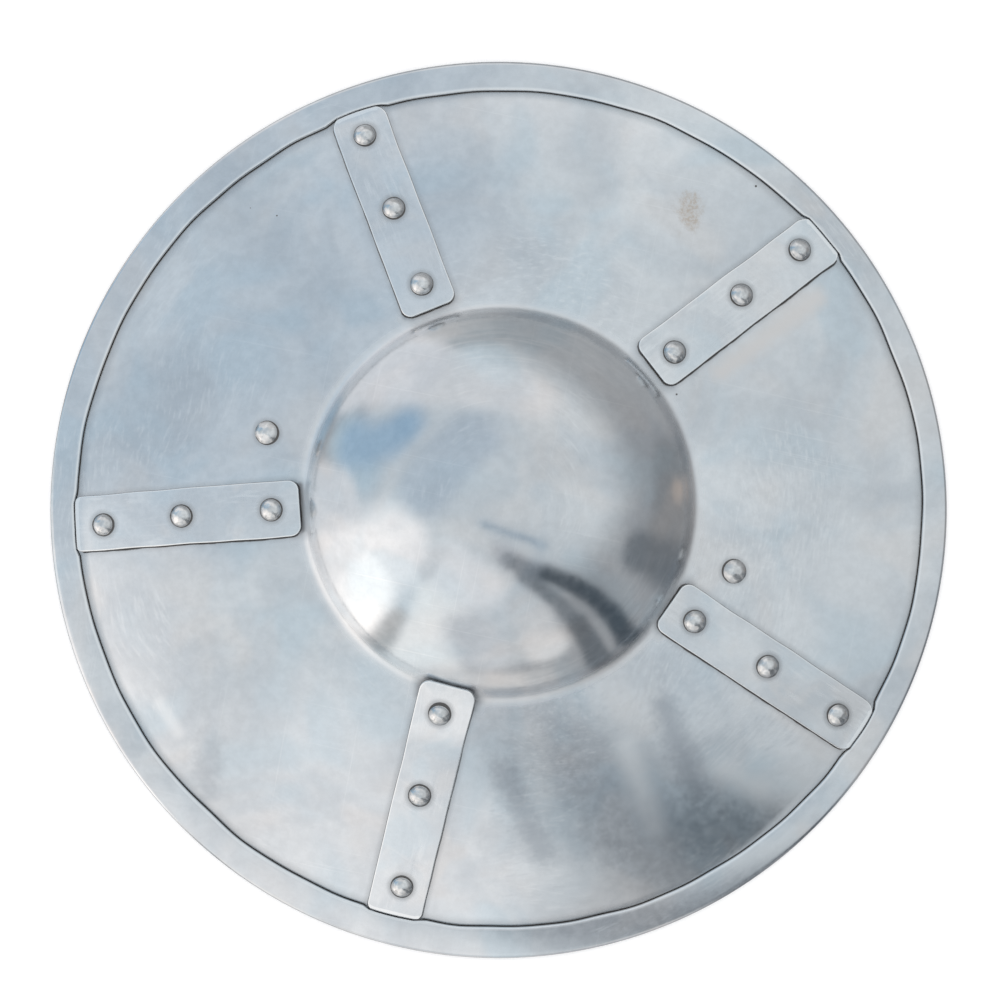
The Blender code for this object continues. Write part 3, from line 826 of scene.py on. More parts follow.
def make_strap(number, strap):
    """One strap, laid on the plate. Its outline from above is kept with its facts."""
    outer_corner = OUTER_CORNERS[number - 1]
    middle_end = strap_outer_end(strap, 0.0)
    length = middle_end - strap["inner"]
    half = strap["width"] / 2
    skew = slow_wander(number * 3.1, 5.0, 1.0) * END_SKEW
    bm = bmesh.new()
    rings = []
    for station in strap_stations(length, STRAP_CORNER, outer_corner):
        from_end = length - station
        inset = rounding(station, STRAP_CORNER) + rounding(from_end, outer_corner)
        drop = rounding(min(station, from_end), STRAP_EDGE_ROUND)
        skew_in = skew * max(0.0, 1 - station / END_REACH)
        ring = []
        for across, height in strap_ring(half - inset, drop, SHEET):
            edge = across / half
            wander = slow_wander(station, number + (0.4 if edge > 0 else 0.0), END_REACH) * EDGE_WANDER
            bend = (strap_outer_end(strap, across) - middle_end) * smooth_share(END_REACH, 0.0, from_end)
            along = strap["inner"] + station + bend + skew_in * edge
            side = across + wander * abs(edge)
            if height > SHEET / 2:
                height += noise.noise(Vector((along, side, number)) * RIPPLES_PER_METRE) * FACE_RIPPLE
            ring.append(bm.verts.new(on_strap(strap, along, side, STRAP_LIFT + height)))
        rings.append(ring)
    right = [ring[RIGHT_EDGE].co.xy for ring in rings]
    left = [ring[LEFT_EDGE].co.xy for ring in rings]
    strap["outline"] = np.array(right + left[::-1])
    bmesh.ops.triangulate(bm, faces=loft(bm, rings))
    return solid_piece(bm, f"strap_piece_{number}", strap_steel)


strap_steel = bpy.data.materials.new("ground strap steel")
strap_pieces = [make_strap(number, strap) for number, strap in enumerate(straps, start=1)]
for piece in strap_pieces:
    report_mesh(piece)

# %% [markdown]
# ## The rivets
#
# A rivet goes in hot or soft as a short pin with a head. The head is held, and the other end is
# hammered until it spreads: that end, the tail, is lower and rougher. The domes of the heads are
# hand-hammered too, so each one carries a few small flats, and no two catch the light alike.
#
# Seventeen rivets of two kinds are a job for instances. A few pattern rivets are turned first, with
# flats at different places. Then a Geometry Nodes tree sends a ray down onto the plate at each rivet's
# place, stands a pattern rivet there at right angles to the surface, gives it its own spin and size,
# and dents it a little with noise. Realize Instances makes them real mesh at the end.
#
# Where a strap has bent up off the cone, the head of its rivet rides up with it and leans as the strap
# leans, while the tail stays on the plate's back. So each seat also carries a lift and a tip, and only
# the points that are marked as the head are lifted.

# %% Pattern rivets, turned and flattened
RIVET_TURN = 48
RIVET_LIP = 0.32 * MM
STRAP_HEAD, STRAP_HEAD_HEIGHT = 4.15 * MM, 2.8 * MM
GRIP_HEAD, GRIP_HEAD_HEIGHT = 4.35 * MM, 2.0 * MM
SHANK_RADIUS = 2.4 * MM
TAIL_RADIUS = 3.4 * MM
TAIL_HEIGHT = 1.1 * MM
PATTERNS = 5
FLATS = 7


def head_sphere(radius, height):
    """Radius of the ball that a head of this radius and height is cut from."""
    return (radius ** 2 + height ** 2) / (2 * height)


def rivet_profile(head_radius, head_height, base, tail_top):
    """A rivet in section from the top of its head to the end of its tail, as (radius, height)."""
    inner = head_radius - RIVET_LIP * 0.6
    sphere = head_sphere(inner, head_height - RIVET_LIP)
    centre = base + head_height - sphere
    points = [(sphere * math.sin(turn), centre + sphere * math.cos(turn))
              for turn in np.linspace(0, math.asin(inner / sphere), 18)]
    points += [(head_radius - 0.06 * MM, base + RIVET_LIP * 0.7), (head_radius, base + RIVET_LIP * 0.4),
               (head_radius - 0.05 * MM, base + 0.02 * MM), (head_radius - 0.4 * MM, base),
               (SHANK_RADIUS, base), (SHANK_RADIUS, tail_top), (TAIL_RADIUS - 0.3 * MM, tail_top)]
    points += [(TAIL_RADIUS * math.cos(turn) ** 0.7, tail_top - TAIL_HEIGHT * math.sin(turn))
               for turn in np.linspace(0, QUARTER, 9)]
    points[-1] = (0.0, points[-1][1])
    return points


def direction(heading, lean):
    """A unit direction from its heading and its lean off straight up, in degrees."""
    turn, tilt = math.radians(heading), math.radians(lean)
    return Vector((math.sin(tilt) * math.cos(turn), math.sin(tilt) * math.sin(turn), math.cos(tilt)))


def hammer_flats(points, draw, centre, radius):
    """Press a few flats into the dome of a pattern rivet."""
    for _ in range(FLATS):
        facing = np.array(direction(math.degrees(draw.uniform(0, math.tau)), draw.uniform(8, 58)))
        depth = draw.uniform(0.05, 0.16) * MM
        over = (points - centre) @ facing - (radius - depth)
        pressed = (over > 0) & (points[:, 2] > centre[2])
        points[pressed] -= facing * over[pressed, None] * 0.9
    return points


def pattern_rivet(name, draw, head_radius, head_height, base, tail_top):
    """Turn one pattern rivet about Z."""
    profile = rivet_profile(head_radius, head_height, base, tail_top)
    turns = np.arange(RIVET_TURN) * math.tau / RIVET_TURN
    rings = [(radius * math.cos(turn), radius * math.sin(turn), height)
             for radius, height in profile[1:-1] for turn in turns]
    points = np.array([(0, 0, profile[0][1]), (0, 0, profile[-1][1])] + rings)
    sphere = head_sphere(head_radius, head_height)
    points = hammer_flats(points, draw, np.array((0, 0, base + head_height - sphere)), sphere)
    faces = []
    starts = range(2, len(points), RIVET_TURN)
    for index in range(RIVET_TURN):
        after = (index + 1) % RIVET_TURN
        faces.append((0, 2 + index, 2 + after))
        faces += [(near + index, far + index, far + after, near + after)
                  for near, far in zip(starts, starts[1:])]
        faces.append((1, starts[-1] + after, starts[-1] + index))
    mesh = bpy.data.meshes.new(name)
    mesh.from_pydata(points.tolist(), [], faces)
    mesh.shade_smooth()
    on_head = points[:, 2] > (base + tail_top) / 2
    store_marks(mesh, "rise", np.where(on_head, points[:, 2] - base, tail_top - points[:, 2]))
    store_marks(mesh, "on_head", on_head)
    return bpy.data.objects.new(name, mesh)


def pattern_collection(name, draw, *sizes):
    """A collection of pattern rivets of one kind, kept out of the scene."""
    patterns = bpy.data.collections.new(name)
    for number in range(PATTERNS):
        patterns.objects.link(pattern_rivet(f"{name}_{number}", draw, *sizes))
    return patterns


# %% The tree that sets the rivets
def rivet_tree():
    """Stand a pattern rivet on the plate at each seat."""
    tree = bpy.data.node_groups.new("rivets on the plate", 'GeometryNodeTree')
    tree.interface.new_socket(name="Seats", in_out='INPUT', socket_type='NodeSocketGeometry')
    ids = {
        "plate": add_input(tree, "Plate", 'NodeSocketObject'),
        "patterns": add_input(tree, "Pattern Rivets", 'NodeSocketCollection'),
        "axis": add_input(tree, "Axis Height", 'NodeSocketFloat', 0.001),
        "dent": add_input(tree, "Dent Depth", 'NodeSocketFloat', 0.0001),
        "dents": add_input(tree, "Dents Per Metre", 'NodeSocketFloat', 300.0),
        "steel": add_input(tree, "Steel", 'NodeSocketMaterial'),
    }
    tree.interface.new_socket(name="Rivets", in_out='OUTPUT', socket_type='NodeSocketGeometry')
    given = tree.nodes.new('NodeGroupInput').outputs
    surface = add_node(tree, 'GeometryNodeObjectInfo', Object=given["Plate"]).outputs["Geometry"]
    facing = tree.nodes.new('GeometryNodeInputNormal').outputs[0]
    ray = add_node(tree, 'GeometryNodeRaycast', {"data_type": 'FLOAT_VECTOR'}, Target_Geometry=surface,
                   Attribute=facing, Ray_Direction=(0.0, 0.0, -1.0), Ray_Length=1.0)

    position = tree.nodes.new('GeometryNodeInputPosition').outputs[0]
    flat = vector_calc(tree, 'MULTIPLY', position, (1.0, 1.0, 0.0))
    tip = scale_vector(tree, vector_calc(tree, 'NORMALIZE', flat), carried(tree, "tip"))
    normal = vector_calc(tree, 'NORMALIZE', vector_calc(tree, 'ADD', ray.outputs["Attribute"], tip))
    upright = add_node(tree, 'ShaderNodeSeparateXYZ', _0=normal).outputs[2]
    above = upwards(tree, calc(tree, 'DIVIDE', given["Axis Height"], upright))
    raised = vector_calc(tree, 'ADD', ray.outputs["Hit Position"], above)
    foot = vector_calc(tree, 'SUBTRACT', raised, scale_vector(tree, normal, given["Axis Height"]))
    stood = add_node(tree, 'FunctionNodeAlignRotationToVector', {"axis": 'Z'}, Vector=normal).outputs[0]
    spin = add_node(tree, 'FunctionNodeAxisAngleToRotation', Axis=(0.0, 0.0, 1.0),
                    Angle=carried(tree, "spin")).outputs[0]
    turned = add_node(tree, 'FunctionNodeRotateRotation', {"rotation_space": 'LOCAL'}, Rotation=stood,
                      Rotate_By=spin).outputs[0]
    seats = carry(tree, given["Seats"], "foot", foot, 'FLOAT_VECTOR')
    seats = carry(tree, seats, "rising", scale_vector(tree, normal, carried(tree, "lift")), 'FLOAT_VECTOR')
    seats = carry(tree, seats, "turn", turned, 'QUATERNION')
    seats = add_node(tree, 'GeometryNodeSetPosition', Geometry=seats,
                     Position=carried(tree, "foot", 'FLOAT_VECTOR')).outputs[0]

    patterns = add_node(tree, 'GeometryNodeCollectionInfo', Collection=given["Pattern Rivets"],
                        Separate_Children=True, Reset_Children=True).outputs[0]
    index = tree.nodes.new('GeometryNodeInputIndex').outputs[0]
    rivets = add_node(tree, 'GeometryNodeInstanceOnPoints', Points=seats, Instance=patterns,
                      Pick_Instance=True, Instance_Index=index,
                      Rotation=carried(tree, "turn", 'QUATERNION'), Scale=carried(tree, "size")).outputs[0]
    solid = add_node(tree, 'GeometryNodeRealizeInstances', _0=rivets).outputs[0]
    bump = add_node(tree, 'ShaderNodeTexNoise', Scale=given["Dents Per Metre"], Detail=1.0).outputs[0]
    depth = times(tree, calc(tree, 'SUBTRACT', bump, 0.5), given["Dent Depth"])
    rising = scale_vector(tree, carried(tree, "rising", 'FLOAT_VECTOR'), carried(tree, "on_head"))
    moved = vector_calc(tree, 'ADD', rising, scale_vector(tree, facing, depth))
    dented = add_node(tree, 'GeometryNodeSetPosition', Geometry=solid, Offset=moved).outputs[0]
    end_tree(tree, dented, given["Steel"])
    return tree, ids


# %% Set the rivets
RIVET_SEED = 5
RIVET_DENT = 0.09 * MM
DENTS_PER_METRE = 420.0
# A rivet leans about a point on its axis at this height over the plate's front
STRAP_RIVET_PIVOT = 0.9 * MM
GRIP_RIVET_PIVOT = -2.0 * MM
GRIP_BACK_GAP = 0.4 * MM
GRIP_TERMINAL = (22 * MM, 2.6 * MM)
rivet_steel = bpy.data.materials.new("hammered rivet steel")
draw = np.random.default_rng(RIVET_SEED)
strap_stack = STRAP_LIFT + SHEET
rivet_nodes, rivet_inputs = rivet_tree()


def rivet_lift(strap, place):
    """How far a strap has already risen off the cone where a rivet goes through it."""
    forward, _ = strap_frame(strap)
    return strap["lift"] * bend_share(strap, place @ forward)


def rivet_tip(strap, place):
    """How much more steeply a bent strap falls outwards than the plate does, where a rivet is."""
    forward, _ = strap_frame(strap)
    return 2 * strap["lift"] * math.sqrt(bend_share(strap, place @ forward)) / STRAP_BEND


def set_rivets(name, places, lifts, tips, patterns, pivot):
    """All the rivets of one kind, as one plain mesh."""
    seats = guide_object(f"{name}_seats", [(x, y, ABOVE) for x, y in places], {
        "lift": lifts,
        "tip": tips,
        "spin": draw.uniform(0, math.tau, len(places)),
        "size": draw.uniform(0.97, 1.03, len(places)),
    })
    piece = grown_mesh(name, seats, rivet_nodes, {
        rivet_inputs["plate"]: plate,
        rivet_inputs["patterns"]: patterns,
        rivet_inputs["axis"]: pivot,
        rivet_inputs["dent"]: RIVET_DENT,
        rivet_inputs["dents"]: DENTS_PER_METRE,
        rivet_inputs["steel"]: rivet_steel,
    })
    remove_objects(seats, *patterns.objects)
    report_mesh(piece)
    return piece


seats = [(strap, place) for strap in straps for place in strap["rivets"]]
strap_patterns = pattern_collection("strap_rivet", draw, STRAP_HEAD, STRAP_HEAD_HEIGHT,
                                    strap_stack, -SHEET)
strap_rivets = set_rivets("strap_rivets", [place for _, place in seats],
                          [rivet_lift(*seat) for seat in seats], [rivet_tip(*seat) for seat in seats],
                          strap_patterns, STRAP_RIVET_PIVOT)
grip_stack = SHEET + GRIP_BACK_GAP + GRIP_TERMINAL[1] - 0.1 * MM
grip_places = [rivet_place("grip_rivet_left"), rivet_place("grip_rivet_right")]
grip_patterns = pattern_collection("grip_rivet", draw, GRIP_HEAD, GRIP_HEAD_HEIGHT, 0.0, -grip_stack)
grip_rivets = set_rivets("grip_rivets", grip_places, [0.0, 0.0], [0.0, 0.0],
                         grip_patterns, GRIP_RIVET_PIVOT)

# %% [markdown]
# ## The grip
#
# Behind the boss, one forged bar crosses the hollow. Its middle is a stout oval that fills the hand,
# and its two ends were beaten out flat and round, so that they lie against the back of the cone. It is
# lofted like the straps, but each ring is a squared oval, a superellipse: a power near 2 gives the
# oval rod, and a high power gives the flat terminal with square edges. The bar keeps the shallow dents
# of the forging hammer, which noise pushes in along the surface's own direction.

# %% The grip's line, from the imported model
GRIP_ROD = (20 * MM, 14 * MM)
GRIP_ROD_REACH = 42 * MM
GRIP_FLAT_REACH = 74 * MM
GRIP_LEVEL_REACH = 62 * MM
GRIP_BEND_REACH = 80 * MM
GRIP_RING = 44
GRIP_SWELL = 0.05
GRIP_EDGE_WANDER = 0.35 * MM
ROD_POWER = 2.3
FLAT_POWER = 7.3

grip_middle = (grip_places[0] + grip_places[1]) / 2
grip_run = grip_places[1] - grip_places[0]
grip_forward = grip_run / np.linalg.norm(grip_run)
grip_sideways = np.array((-grip_forward[1], grip_forward[0]))
grip_rivet_reach = np.linalg.norm(grip_run) / 2
print(f"grip: heading {math.degrees(math.atan2(grip_forward[1], grip_forward[0])):.1f} degrees,",
      f"rivets {2 * grip_rivet_reach / MM:.1f} mm apart")


def terminal_height(along):
    """Height of the middle of the flat terminal, against the plate's back."""
    x, y = grip_middle + grip_forward * along
    place, _ = on_plate(x, y, -(SHEET + GRIP_BACK_GAP + GRIP_TERMINAL[1] / 2))
    return place.z


bend_height = {side: terminal_height(side * GRIP_BEND_REACH) for side in (-1.0, 1.0)}


def spine_height(along):
    """Height of the bar's middle: along the plate's back at the ends, level across the hollow."""
    reach = abs(along)
    side = math.copysign(1.0, along)
    foot = bend_height[side]
    if reach >= GRIP_BEND_REACH:
        return terminal_height(along)
    run = GRIP_BEND_REACH - GRIP_LEVEL_REACH
    inwards = min(GRIP_BEND_REACH - reach, run)
    level = cone_fall(GRIP_BEND_REACH) * (inwards - inwards ** 2 / (2 * run))
    mean = (bend_height[-1.0] + bend_height[1.0]) / 2
    return foot + level + (mean - foot) * smooth_share(GRIP_BEND_REACH, 0.0, reach)


def grip_ring(along):
    """One ring of the bar."""
    reach = abs(along)
    flat = smooth_share(GRIP_ROD_REACH, GRIP_FLAT_REACH, reach)
    swell = 1 + GRIP_SWELL * math.cos(along / GRIP_ROD_REACH * math.pi / 2) * (1 - flat)
    width = (GRIP_ROD[0] + (GRIP_TERMINAL[0] - GRIP_ROD[0]) * flat) * swell
    height = (GRIP_ROD[1] + (GRIP_TERMINAL[1] - GRIP_ROD[1]) * flat) * (2 - swell)
    past = max(reach - grip_rivet_reach, 0.0) / (GRIP_TERMINAL[0] / 2)
    width *= math.sqrt(max(1 - past ** 2, 0.0))
    height *= max(1 - past ** 8, 0.0) ** 0.5 * 0.25 + 0.75
    power = 2 / (ROD_POWER + (FLAT_POWER - ROD_POWER) * flat)
    near = 0.1 * MM
    slope = math.atan2(spine_height(along + near) - spine_height(along - near), 2 * near)
    middle = grip_middle + grip_forward * along
    for index in range(GRIP_RING):
        turn = math.tau * (index + 0.5) / GRIP_RING
        across = math.copysign(abs(math.cos(turn)) ** power, math.cos(turn)) * width / 2
        rise = math.copysign(abs(math.sin(turn)) ** power, math.sin(turn)) * height / 2
        edge = slow_wander(along, 40 + math.copysign(1, across), 22 * MM) * GRIP_EDGE_WANDER
        across += math.copysign(edge, across) * min(abs(across) / (2 * MM), 1) * (1 - past ** 2)
        x, y = middle + grip_sideways * across - grip_forward * rise * math.sin(slope)
        yield Vector((x, y, spine_height(along) + rise * math.cos(slope)))


# %% Loft the grip and dent it
grip_steel = bpy.data.materials.new("forged grip steel")
end_turns = np.linspace(0.05, 1.53, 26)
half_stations = list(np.linspace(0, grip_rivet_reach, 84))
half_stations += [grip_rivet_reach + GRIP_TERMINAL[0] / 2 * math.sin(turn) for turn in end_turns]
stations = [-reach for reach in reversed(half_stations[1:])] + half_stations


def make_grip():
    """The forged bar, closed at both ends, with hammer dents."""
    bm = bmesh.new()
    rings = [[bm.verts.new(point) for point in grip_ring(along)] for along in stations]
    bmesh.ops.poke(bm, faces=loft(bm, rings))
    bm.normal_update()
    moves = []
    for vertex in bm.verts:
        along = (np.array(vertex.co[:2]) - grip_middle) @ grip_forward
        soft = 1 - smooth_share(GRIP_ROD_REACH, GRIP_FLAT_REACH, abs(along))
        dent = noise.noise(vertex.co * 70) * 0.7 + noise.noise(vertex.co * 190) * 0.3
        moves.append(vertex.normal * dent * (0.12 + 0.55 * soft) * MM)
    for vertex, move in zip(bm.verts, moves):
        vertex.co += move
    return solid_piece(bm, "grip_bar", grip_steel)


grip = make_grip()
report_mesh(grip)

# %% [markdown]
# ## Marking where dirt gathers and where shade is painted
#
# Polished steel stays dark where the polishing wheel can't reach and where oil and sweat creep in: in
# the crevice under the hem, along the straps and round the rivets. The same dark lines and soft halos
# also carry painted shade, where shade falls in those crevices and beside those edges. Distance tells
# a material where such places are. The distance of each point to the hem's edge and to the nearest
# strap is worked out once and stored on the mesh, and the material reads it. Because a distance
# changes evenly from point to point, the dark lines come out sharp although the mesh is much coarser
# than they are.
#
# The dark line beside a strap isn't even. Under the lower edge of each strap and at its inner end it
# is thick, a painted shadow as if the light came from the +y side; along the upper edge there is
# hardly any, only a little dirt. So a second mark says which way the nearest edge faces.

# %% Helpers to read marks and to measure distances
# The line beside a strap: a little dirt at the sides, and a painted shadow towards its lower edge
SIDE_EDGE_DIRT_AND_SHADOW = 0.30
LOWER_EDGE_SHADOW = 0.95


def vertex_places(mesh):
    """All of a mesh's points, as rows of x, y and z."""
    places = np.empty(len(mesh.vertices) * 3, np.float32)
    mesh.vertices.foreach_get("co", places)
    return places.reshape(-1, 3).astype(float)


def read_marks(mesh, label):
    """A stored mark of every point."""
    values = np.empty(len(mesh.vertices), np.float32)
    mesh.attributes[label].data.foreach_get("value", values)
    return values.astype(float)


def outline_distance(points, outline):
    """Distance of points to a closed outline, negative inside, and the outward direction there."""
    nearest = np.full(len(points), np.inf)
    away = np.zeros_like(points)
    inside = np.zeros(len(points), bool)
    for start, end in zip(outline, np.roll(outline, -1, 0)):
        run = end - start
        share = np.clip((points - start) @ run / (run @ run), 0, 1)
        offset = points - start - share[:, None] * run
        distance = np.hypot(offset[:, 0], offset[:, 1])
        closer = distance < nearest
        nearest[closer] = distance[closer]
        away[closer] = offset[closer]
        crossed = (start[1] > points[:, 1]) != (end[1] > points[:, 1])
        beside = run[0] * (points[:, 1] - start[1]) - run[1] * (points[:, 0] - start[0])
        inside ^= crossed & ((beside > 0) == (run[1] > 0))
    sign = np.where(inside, -1.0, 1.0)
    return sign * nearest, away * (sign / np.maximum(nearest, 1e-9))[:, None]


# %% Store the distances on the plate
def mark_plate():
    """Distance to the hem's edge and to the nearest strap.

    With how much dirt and painted shadow that strap's edge gets.
    """
    mesh = plate.data
    places = vertex_places(mesh)
    gap = read_marks(mesh, "hem_gap")
    radius = np.hypot(places[:, 0], places[:, 1])
    to_hem = hem_edge(np.arctan2(places[:, 1], places[:, 0])) - radius
    store_marks(mesh, "hem_gap", np.where(gap < BESIDE_HEM / 2, to_hem, gap))
    strap_gap = np.full(len(places), FAR)
    dirt_and_shade = np.zeros(len(places))
    for strap in straps:
        away = places[:, :2] - strap["outline"].mean(0)
        near = np.flatnonzero(np.hypot(away[:, 0], away[:, 1]) < FAR)
        distance, outwards = outline_distance(places[near, :2], strap["outline"])
        forward, _ = strap_frame(strap)
        # Darker towards the strap's lower (-y) edge and at its inner end: a painted shadow over a little
        # dirt
        lower = SIDE_EDGE_DIRT_AND_SHADOW - LOWER_EDGE_SHADOW * outwards[:, 1] * np.abs(outwards[:, 1]) ** 0.25
        inner_end = np.clip(-(outwards @ forward) * 2 - 0.8, 0, 1)
        strap_gap[near] = distance
        dirt_and_shade[near] = np.clip(np.maximum(lower, inner_end), 0.08, 1)
    strap_gap[read_marks(mesh, "front_side") < 0.5] = FAR
    store_marks(mesh, "strap_gap", strap_gap)
    store_marks(mesh, "strap_dirt", dirt_and_shade)
    print("points of the plate within 2 mm of a strap's edge:", int((np.abs(strap_gap) < 2 * MM).sum()))


mark_plate()

# %% Store the distance to its own edge on each strap
EDGE_WALL = -1.0 * MM


def mark_strap(piece, strap):
    """Distance in from the edge on the face, and a negative number on the cut walls."""
    mesh = piece.data
    places = vertex_places(mesh)
    distance, _ = outline_distance(places[:, :2], strap["outline"])
    on_ring = np.arange(len(places)) % STRAP_RING
    below = (on_ring > RIGHT_EDGE) & (on_ring < LEFT_EDGE)
    store_marks(mesh, "edge_gap", np.where(below, EDGE_WALL, np.maximum(-distance, 0)))


for piece, strap in zip(strap_pieces, straps):
    mark_strap(piece, strap)

# %% [markdown]
# ## Building a finish in layers
#
# The steel is ground, then polished, then handled. Its finish is built in that order, as layers. Each
# layer is a small function that takes the look so far, which is a colour, a roughness, a height for
# the bump and a share of dirt and painted shade, and hands it on changed. The last function joins the
# look to one Principled shader. Everything is placed by Object coordinates or by the stored marks, so
# that it stays on the steel from every side.
#
# Most of the helpers only change the place at which noise is read. Drift pushes the place about
# slowly, so that plain round noise looks wiped. A place drawn out round an axis turns the same noise
# into strokes that follow a turn of the polishing wheel.

# %% Helpers for shader nodes
def shader_tree(owner):
    """An owner's node tree, emptied."""
    owner.use_nodes = True
    owner.node_tree.nodes.clear()
    return owner.node_tree


def object_place(tree):
    """Object coordinates, which are metres in the shared frame."""
    return tree.nodes.new('ShaderNodeTexCoord').outputs["Object"]


def mark(tree, label):
    """A mark that is stored on the mesh."""
    return add_node(tree, 'ShaderNodeAttribute', {"attribute_name": label}).outputs["Fac"]


def spread(tree, value, low, high):
    """A number between 0 and 1 stretched to lie between low and high."""
    return calc(tree, 'MULTIPLY_ADD', value, high - low, low)


def mixed(tree, share, under, over):
    """Two colours mixed by a share of the second."""
    node = add_node(tree, 'ShaderNodeMix', {"data_type": 'RGBA'}, _0=share)
    for socket, colour in ((node.inputs[6], under), (node.inputs[7], over)):
        if isinstance(colour, bpy.types.NodeSocket):
            tree.links.new(colour, socket)
        else:
            socket.default_value = (*colour, 1.0)
    return node.outputs[2]


def clouds(tree, place, scale, detail, roughness):
    """Noise between 0 and 1 at a place."""
    return add_node(tree, 'ShaderNodeTexNoise', Vector=place, Scale=scale, Detail=detail,
                    Roughness=roughness).outputs[0]


def drift(tree, place, scale, reach):
    """A slow, soft shift in the plane, to bend a place with so that noise looks wiped."""
    waves = add_node(tree, 'ShaderNodeTexNoise', Vector=place, Scale=scale, Detail=0.0)
    shift = vector_calc(tree, 'SUBTRACT', waves.outputs["Color"], (0.5, 0.5, 0.5))
    return vector_calc(tree, 'MULTIPLY', shift, (reach, reach, 0.0))


def flat_place(tree, place, centre=(0.0, 0.0)):
    """A place seen from above, measured from a centre."""
    moved = vector_calc(tree, 'SUBTRACT', place, (*centre, 0.0))
    return vector_calc(tree, 'MULTIPLY', moved, (1.0, 1.0, 0.0))


def extreme(tree, operation, numbers):
    """The least or the greatest of some numbers."""
    return reduce(lambda one, other: calc(tree, operation, one, other), numbers)


def nearest_axis(tree, flat, places):
    """Distance, seen from above, to the nearest of some axes."""
    reaches = [vector_calc(tree, 'DISTANCE', flat, (x, y, 0.0)) for x, y in places]
    return extreme(tree, 'MINIMUM', reaches)


def run_distance(tree, place, start, end):
    """Distance to the straight run between two points."""
    run = end - start
    measure = run / run.length_squared
    along = vector_calc(tree, 'DOT_PRODUCT', place, tuple(measure))
    share = calc(tree, 'SUBTRACT', along, start.dot(measure))
    share.node.use_clamp = True
    foot = vector_calc(tree, 'MULTIPLY_ADD', share, tuple(run), tuple(start))
    return vector_calc(tree, 'DISTANCE', place, foot)


def round_axis(tree, flat, turns, rings):
    """A place for noise drawn out round the axis: so many features a turn and a metre of radius."""
    around = scale_vector(tree, vector_calc(tree, 'NORMALIZE', flat), turns / math.tau)
    outwards = upwards(tree, times(tree, vector_calc(tree, 'LENGTH', flat), rings))
    return vector_calc(tree, 'ADD', around, outwards)


def tint(tree, look, share, colour, strength=1.0):
    """Mix a colour into a look by a share."""
    if strength != 1.0:
        share = times(tree, share, strength)
    look["colour"] = mixed(tree, share, look["colour"], colour)


def roughen(tree, look, share, amount):
    """Make a look rougher by up to an amount, or smoother by a negative one."""
    look["roughness"] = calc(tree, 'MULTIPLY_ADD', share, amount, look["roughness"])


# %% [markdown]
# The first layer is the ground steel itself. Wiped and polished steel isn't one grey: it has cloudy
# patches a few centimetres wide, some a little blue, some a little warm, where oil, wax and the last
# polish lie. Over them come short strokes that run round the shield, because it was polished while it
# turned. They show only in patches, where the wheel pressed harder.

# %% Ground steel: clouds, tints and mottling
STEEL_DEEP = (0.555, 0.588, 0.625)
STEEL_PALE = (0.715, 0.735, 0.757)
STEEL_BLUE = (0.560, 0.645, 0.705)
STEEL_WARM = (0.725, 0.692, 0.678)
STEEL_BRIGHT = (0.88, 0.89, 0.90)
STROKE_PALE = (0.83, 0.845, 0.86)
STROKE_DARK = (0.43, 0.46, 0.50)


def cloudy_steel(tree, place, seed, polish):
    """Ground steel with soft patches. polish is its roughness where it is smoothest."""
    here = vector_calc(tree, 'ADD', place, (seed, seed / 2, 0.0))
    bend = drift(tree, here, 24, 0.036)
    bent = vector_calc(tree, 'ADD', here, bend)
    tone = step(tree, clouds(tree, bent, 21, 3, 0.60), 0.32, 0.70)
    hue = clouds(tree, vector_calc(tree, 'ADD', bent, (0.31, 0.17, 0.0)), 27, 2, 0.55)
    mottle = clouds(tree, here, 260, 2, 0.62)
    smoothest = spread(tree, tone, polish + 0.035, polish)
    look = {"colour": mixed(tree, tone, STEEL_DEEP, STEEL_PALE),
            "roughness": calc(tree, 'ADD', smoothest, spread(tree, mottle, -0.03, 0.05)),
            "height": times(tree, mottle, 0.5), "dirt_and_shade": None, "mottle": mottle, "bend": bend}
    tint(tree, look, step(tree, hue, 0.50, 0.66), STEEL_BLUE, 0.60)
    tint(tree, look, step(tree, hue, 0.48, 0.33), STEEL_WARM, 0.45)
    light_and_dark = spread(tree, step(tree, mottle, 0.25, 0.75), 0.962, 1.034)
    look["colour"] = scale_vector(tree, look["colour"], light_and_dark)
    return look


def add_strokes(tree, look, drawn_out, patch, lift):
    """Polishing strokes: noise at a place that is drawn out along them, kept to patches."""
    streak = calc(tree, 'SUBTRACT', clouds(tree, drawn_out, 1.0, 2, 0.55), 0.5)
    raised = times(tree, streak, patch)
    tint(tree, look, step(tree, raised, 0.0, 0.22), STROKE_PALE, lift)
    tint(tree, look, step(tree, raised, -0.03, -0.26), STROKE_DARK, lift / 2)
    roughen(tree, look, calc(tree, 'ABSOLUTE', raised), 0.18)


# %% [markdown]
# Scratches come from use: thin, nearly straight and few. A Wave or a Brick texture would repeat, so
# they are drawn with noise that is stretched a hundred times longer than wide and cut off so high that
# only its thin crests are left. Two sets at different angles look like years of knocks.
#
# Dirt, painted shade and stains are shares between 0 and 1. A dark line ends where the distance to an
# edge passes its width, and the width is multiplied by a slow noise, because grime is never ruled with
# a pen; such a line is dirt and also painted shade, where shade falls along the edge. A soft halo
# beside an edge is painted shade. A band is the reach of a place to a straight run, as ragged at its
# sides as the mottle makes it. The dark bands are painted shade and painted reflections of dark
# things, and the bright ones painted reflections of bright things.

# %% Scratches, stains, specks, and painted shade and reflections
# The grey of a painted shade halo that fades out from an edge
HALO_SHADE = (0.20, 0.20, 0.205)


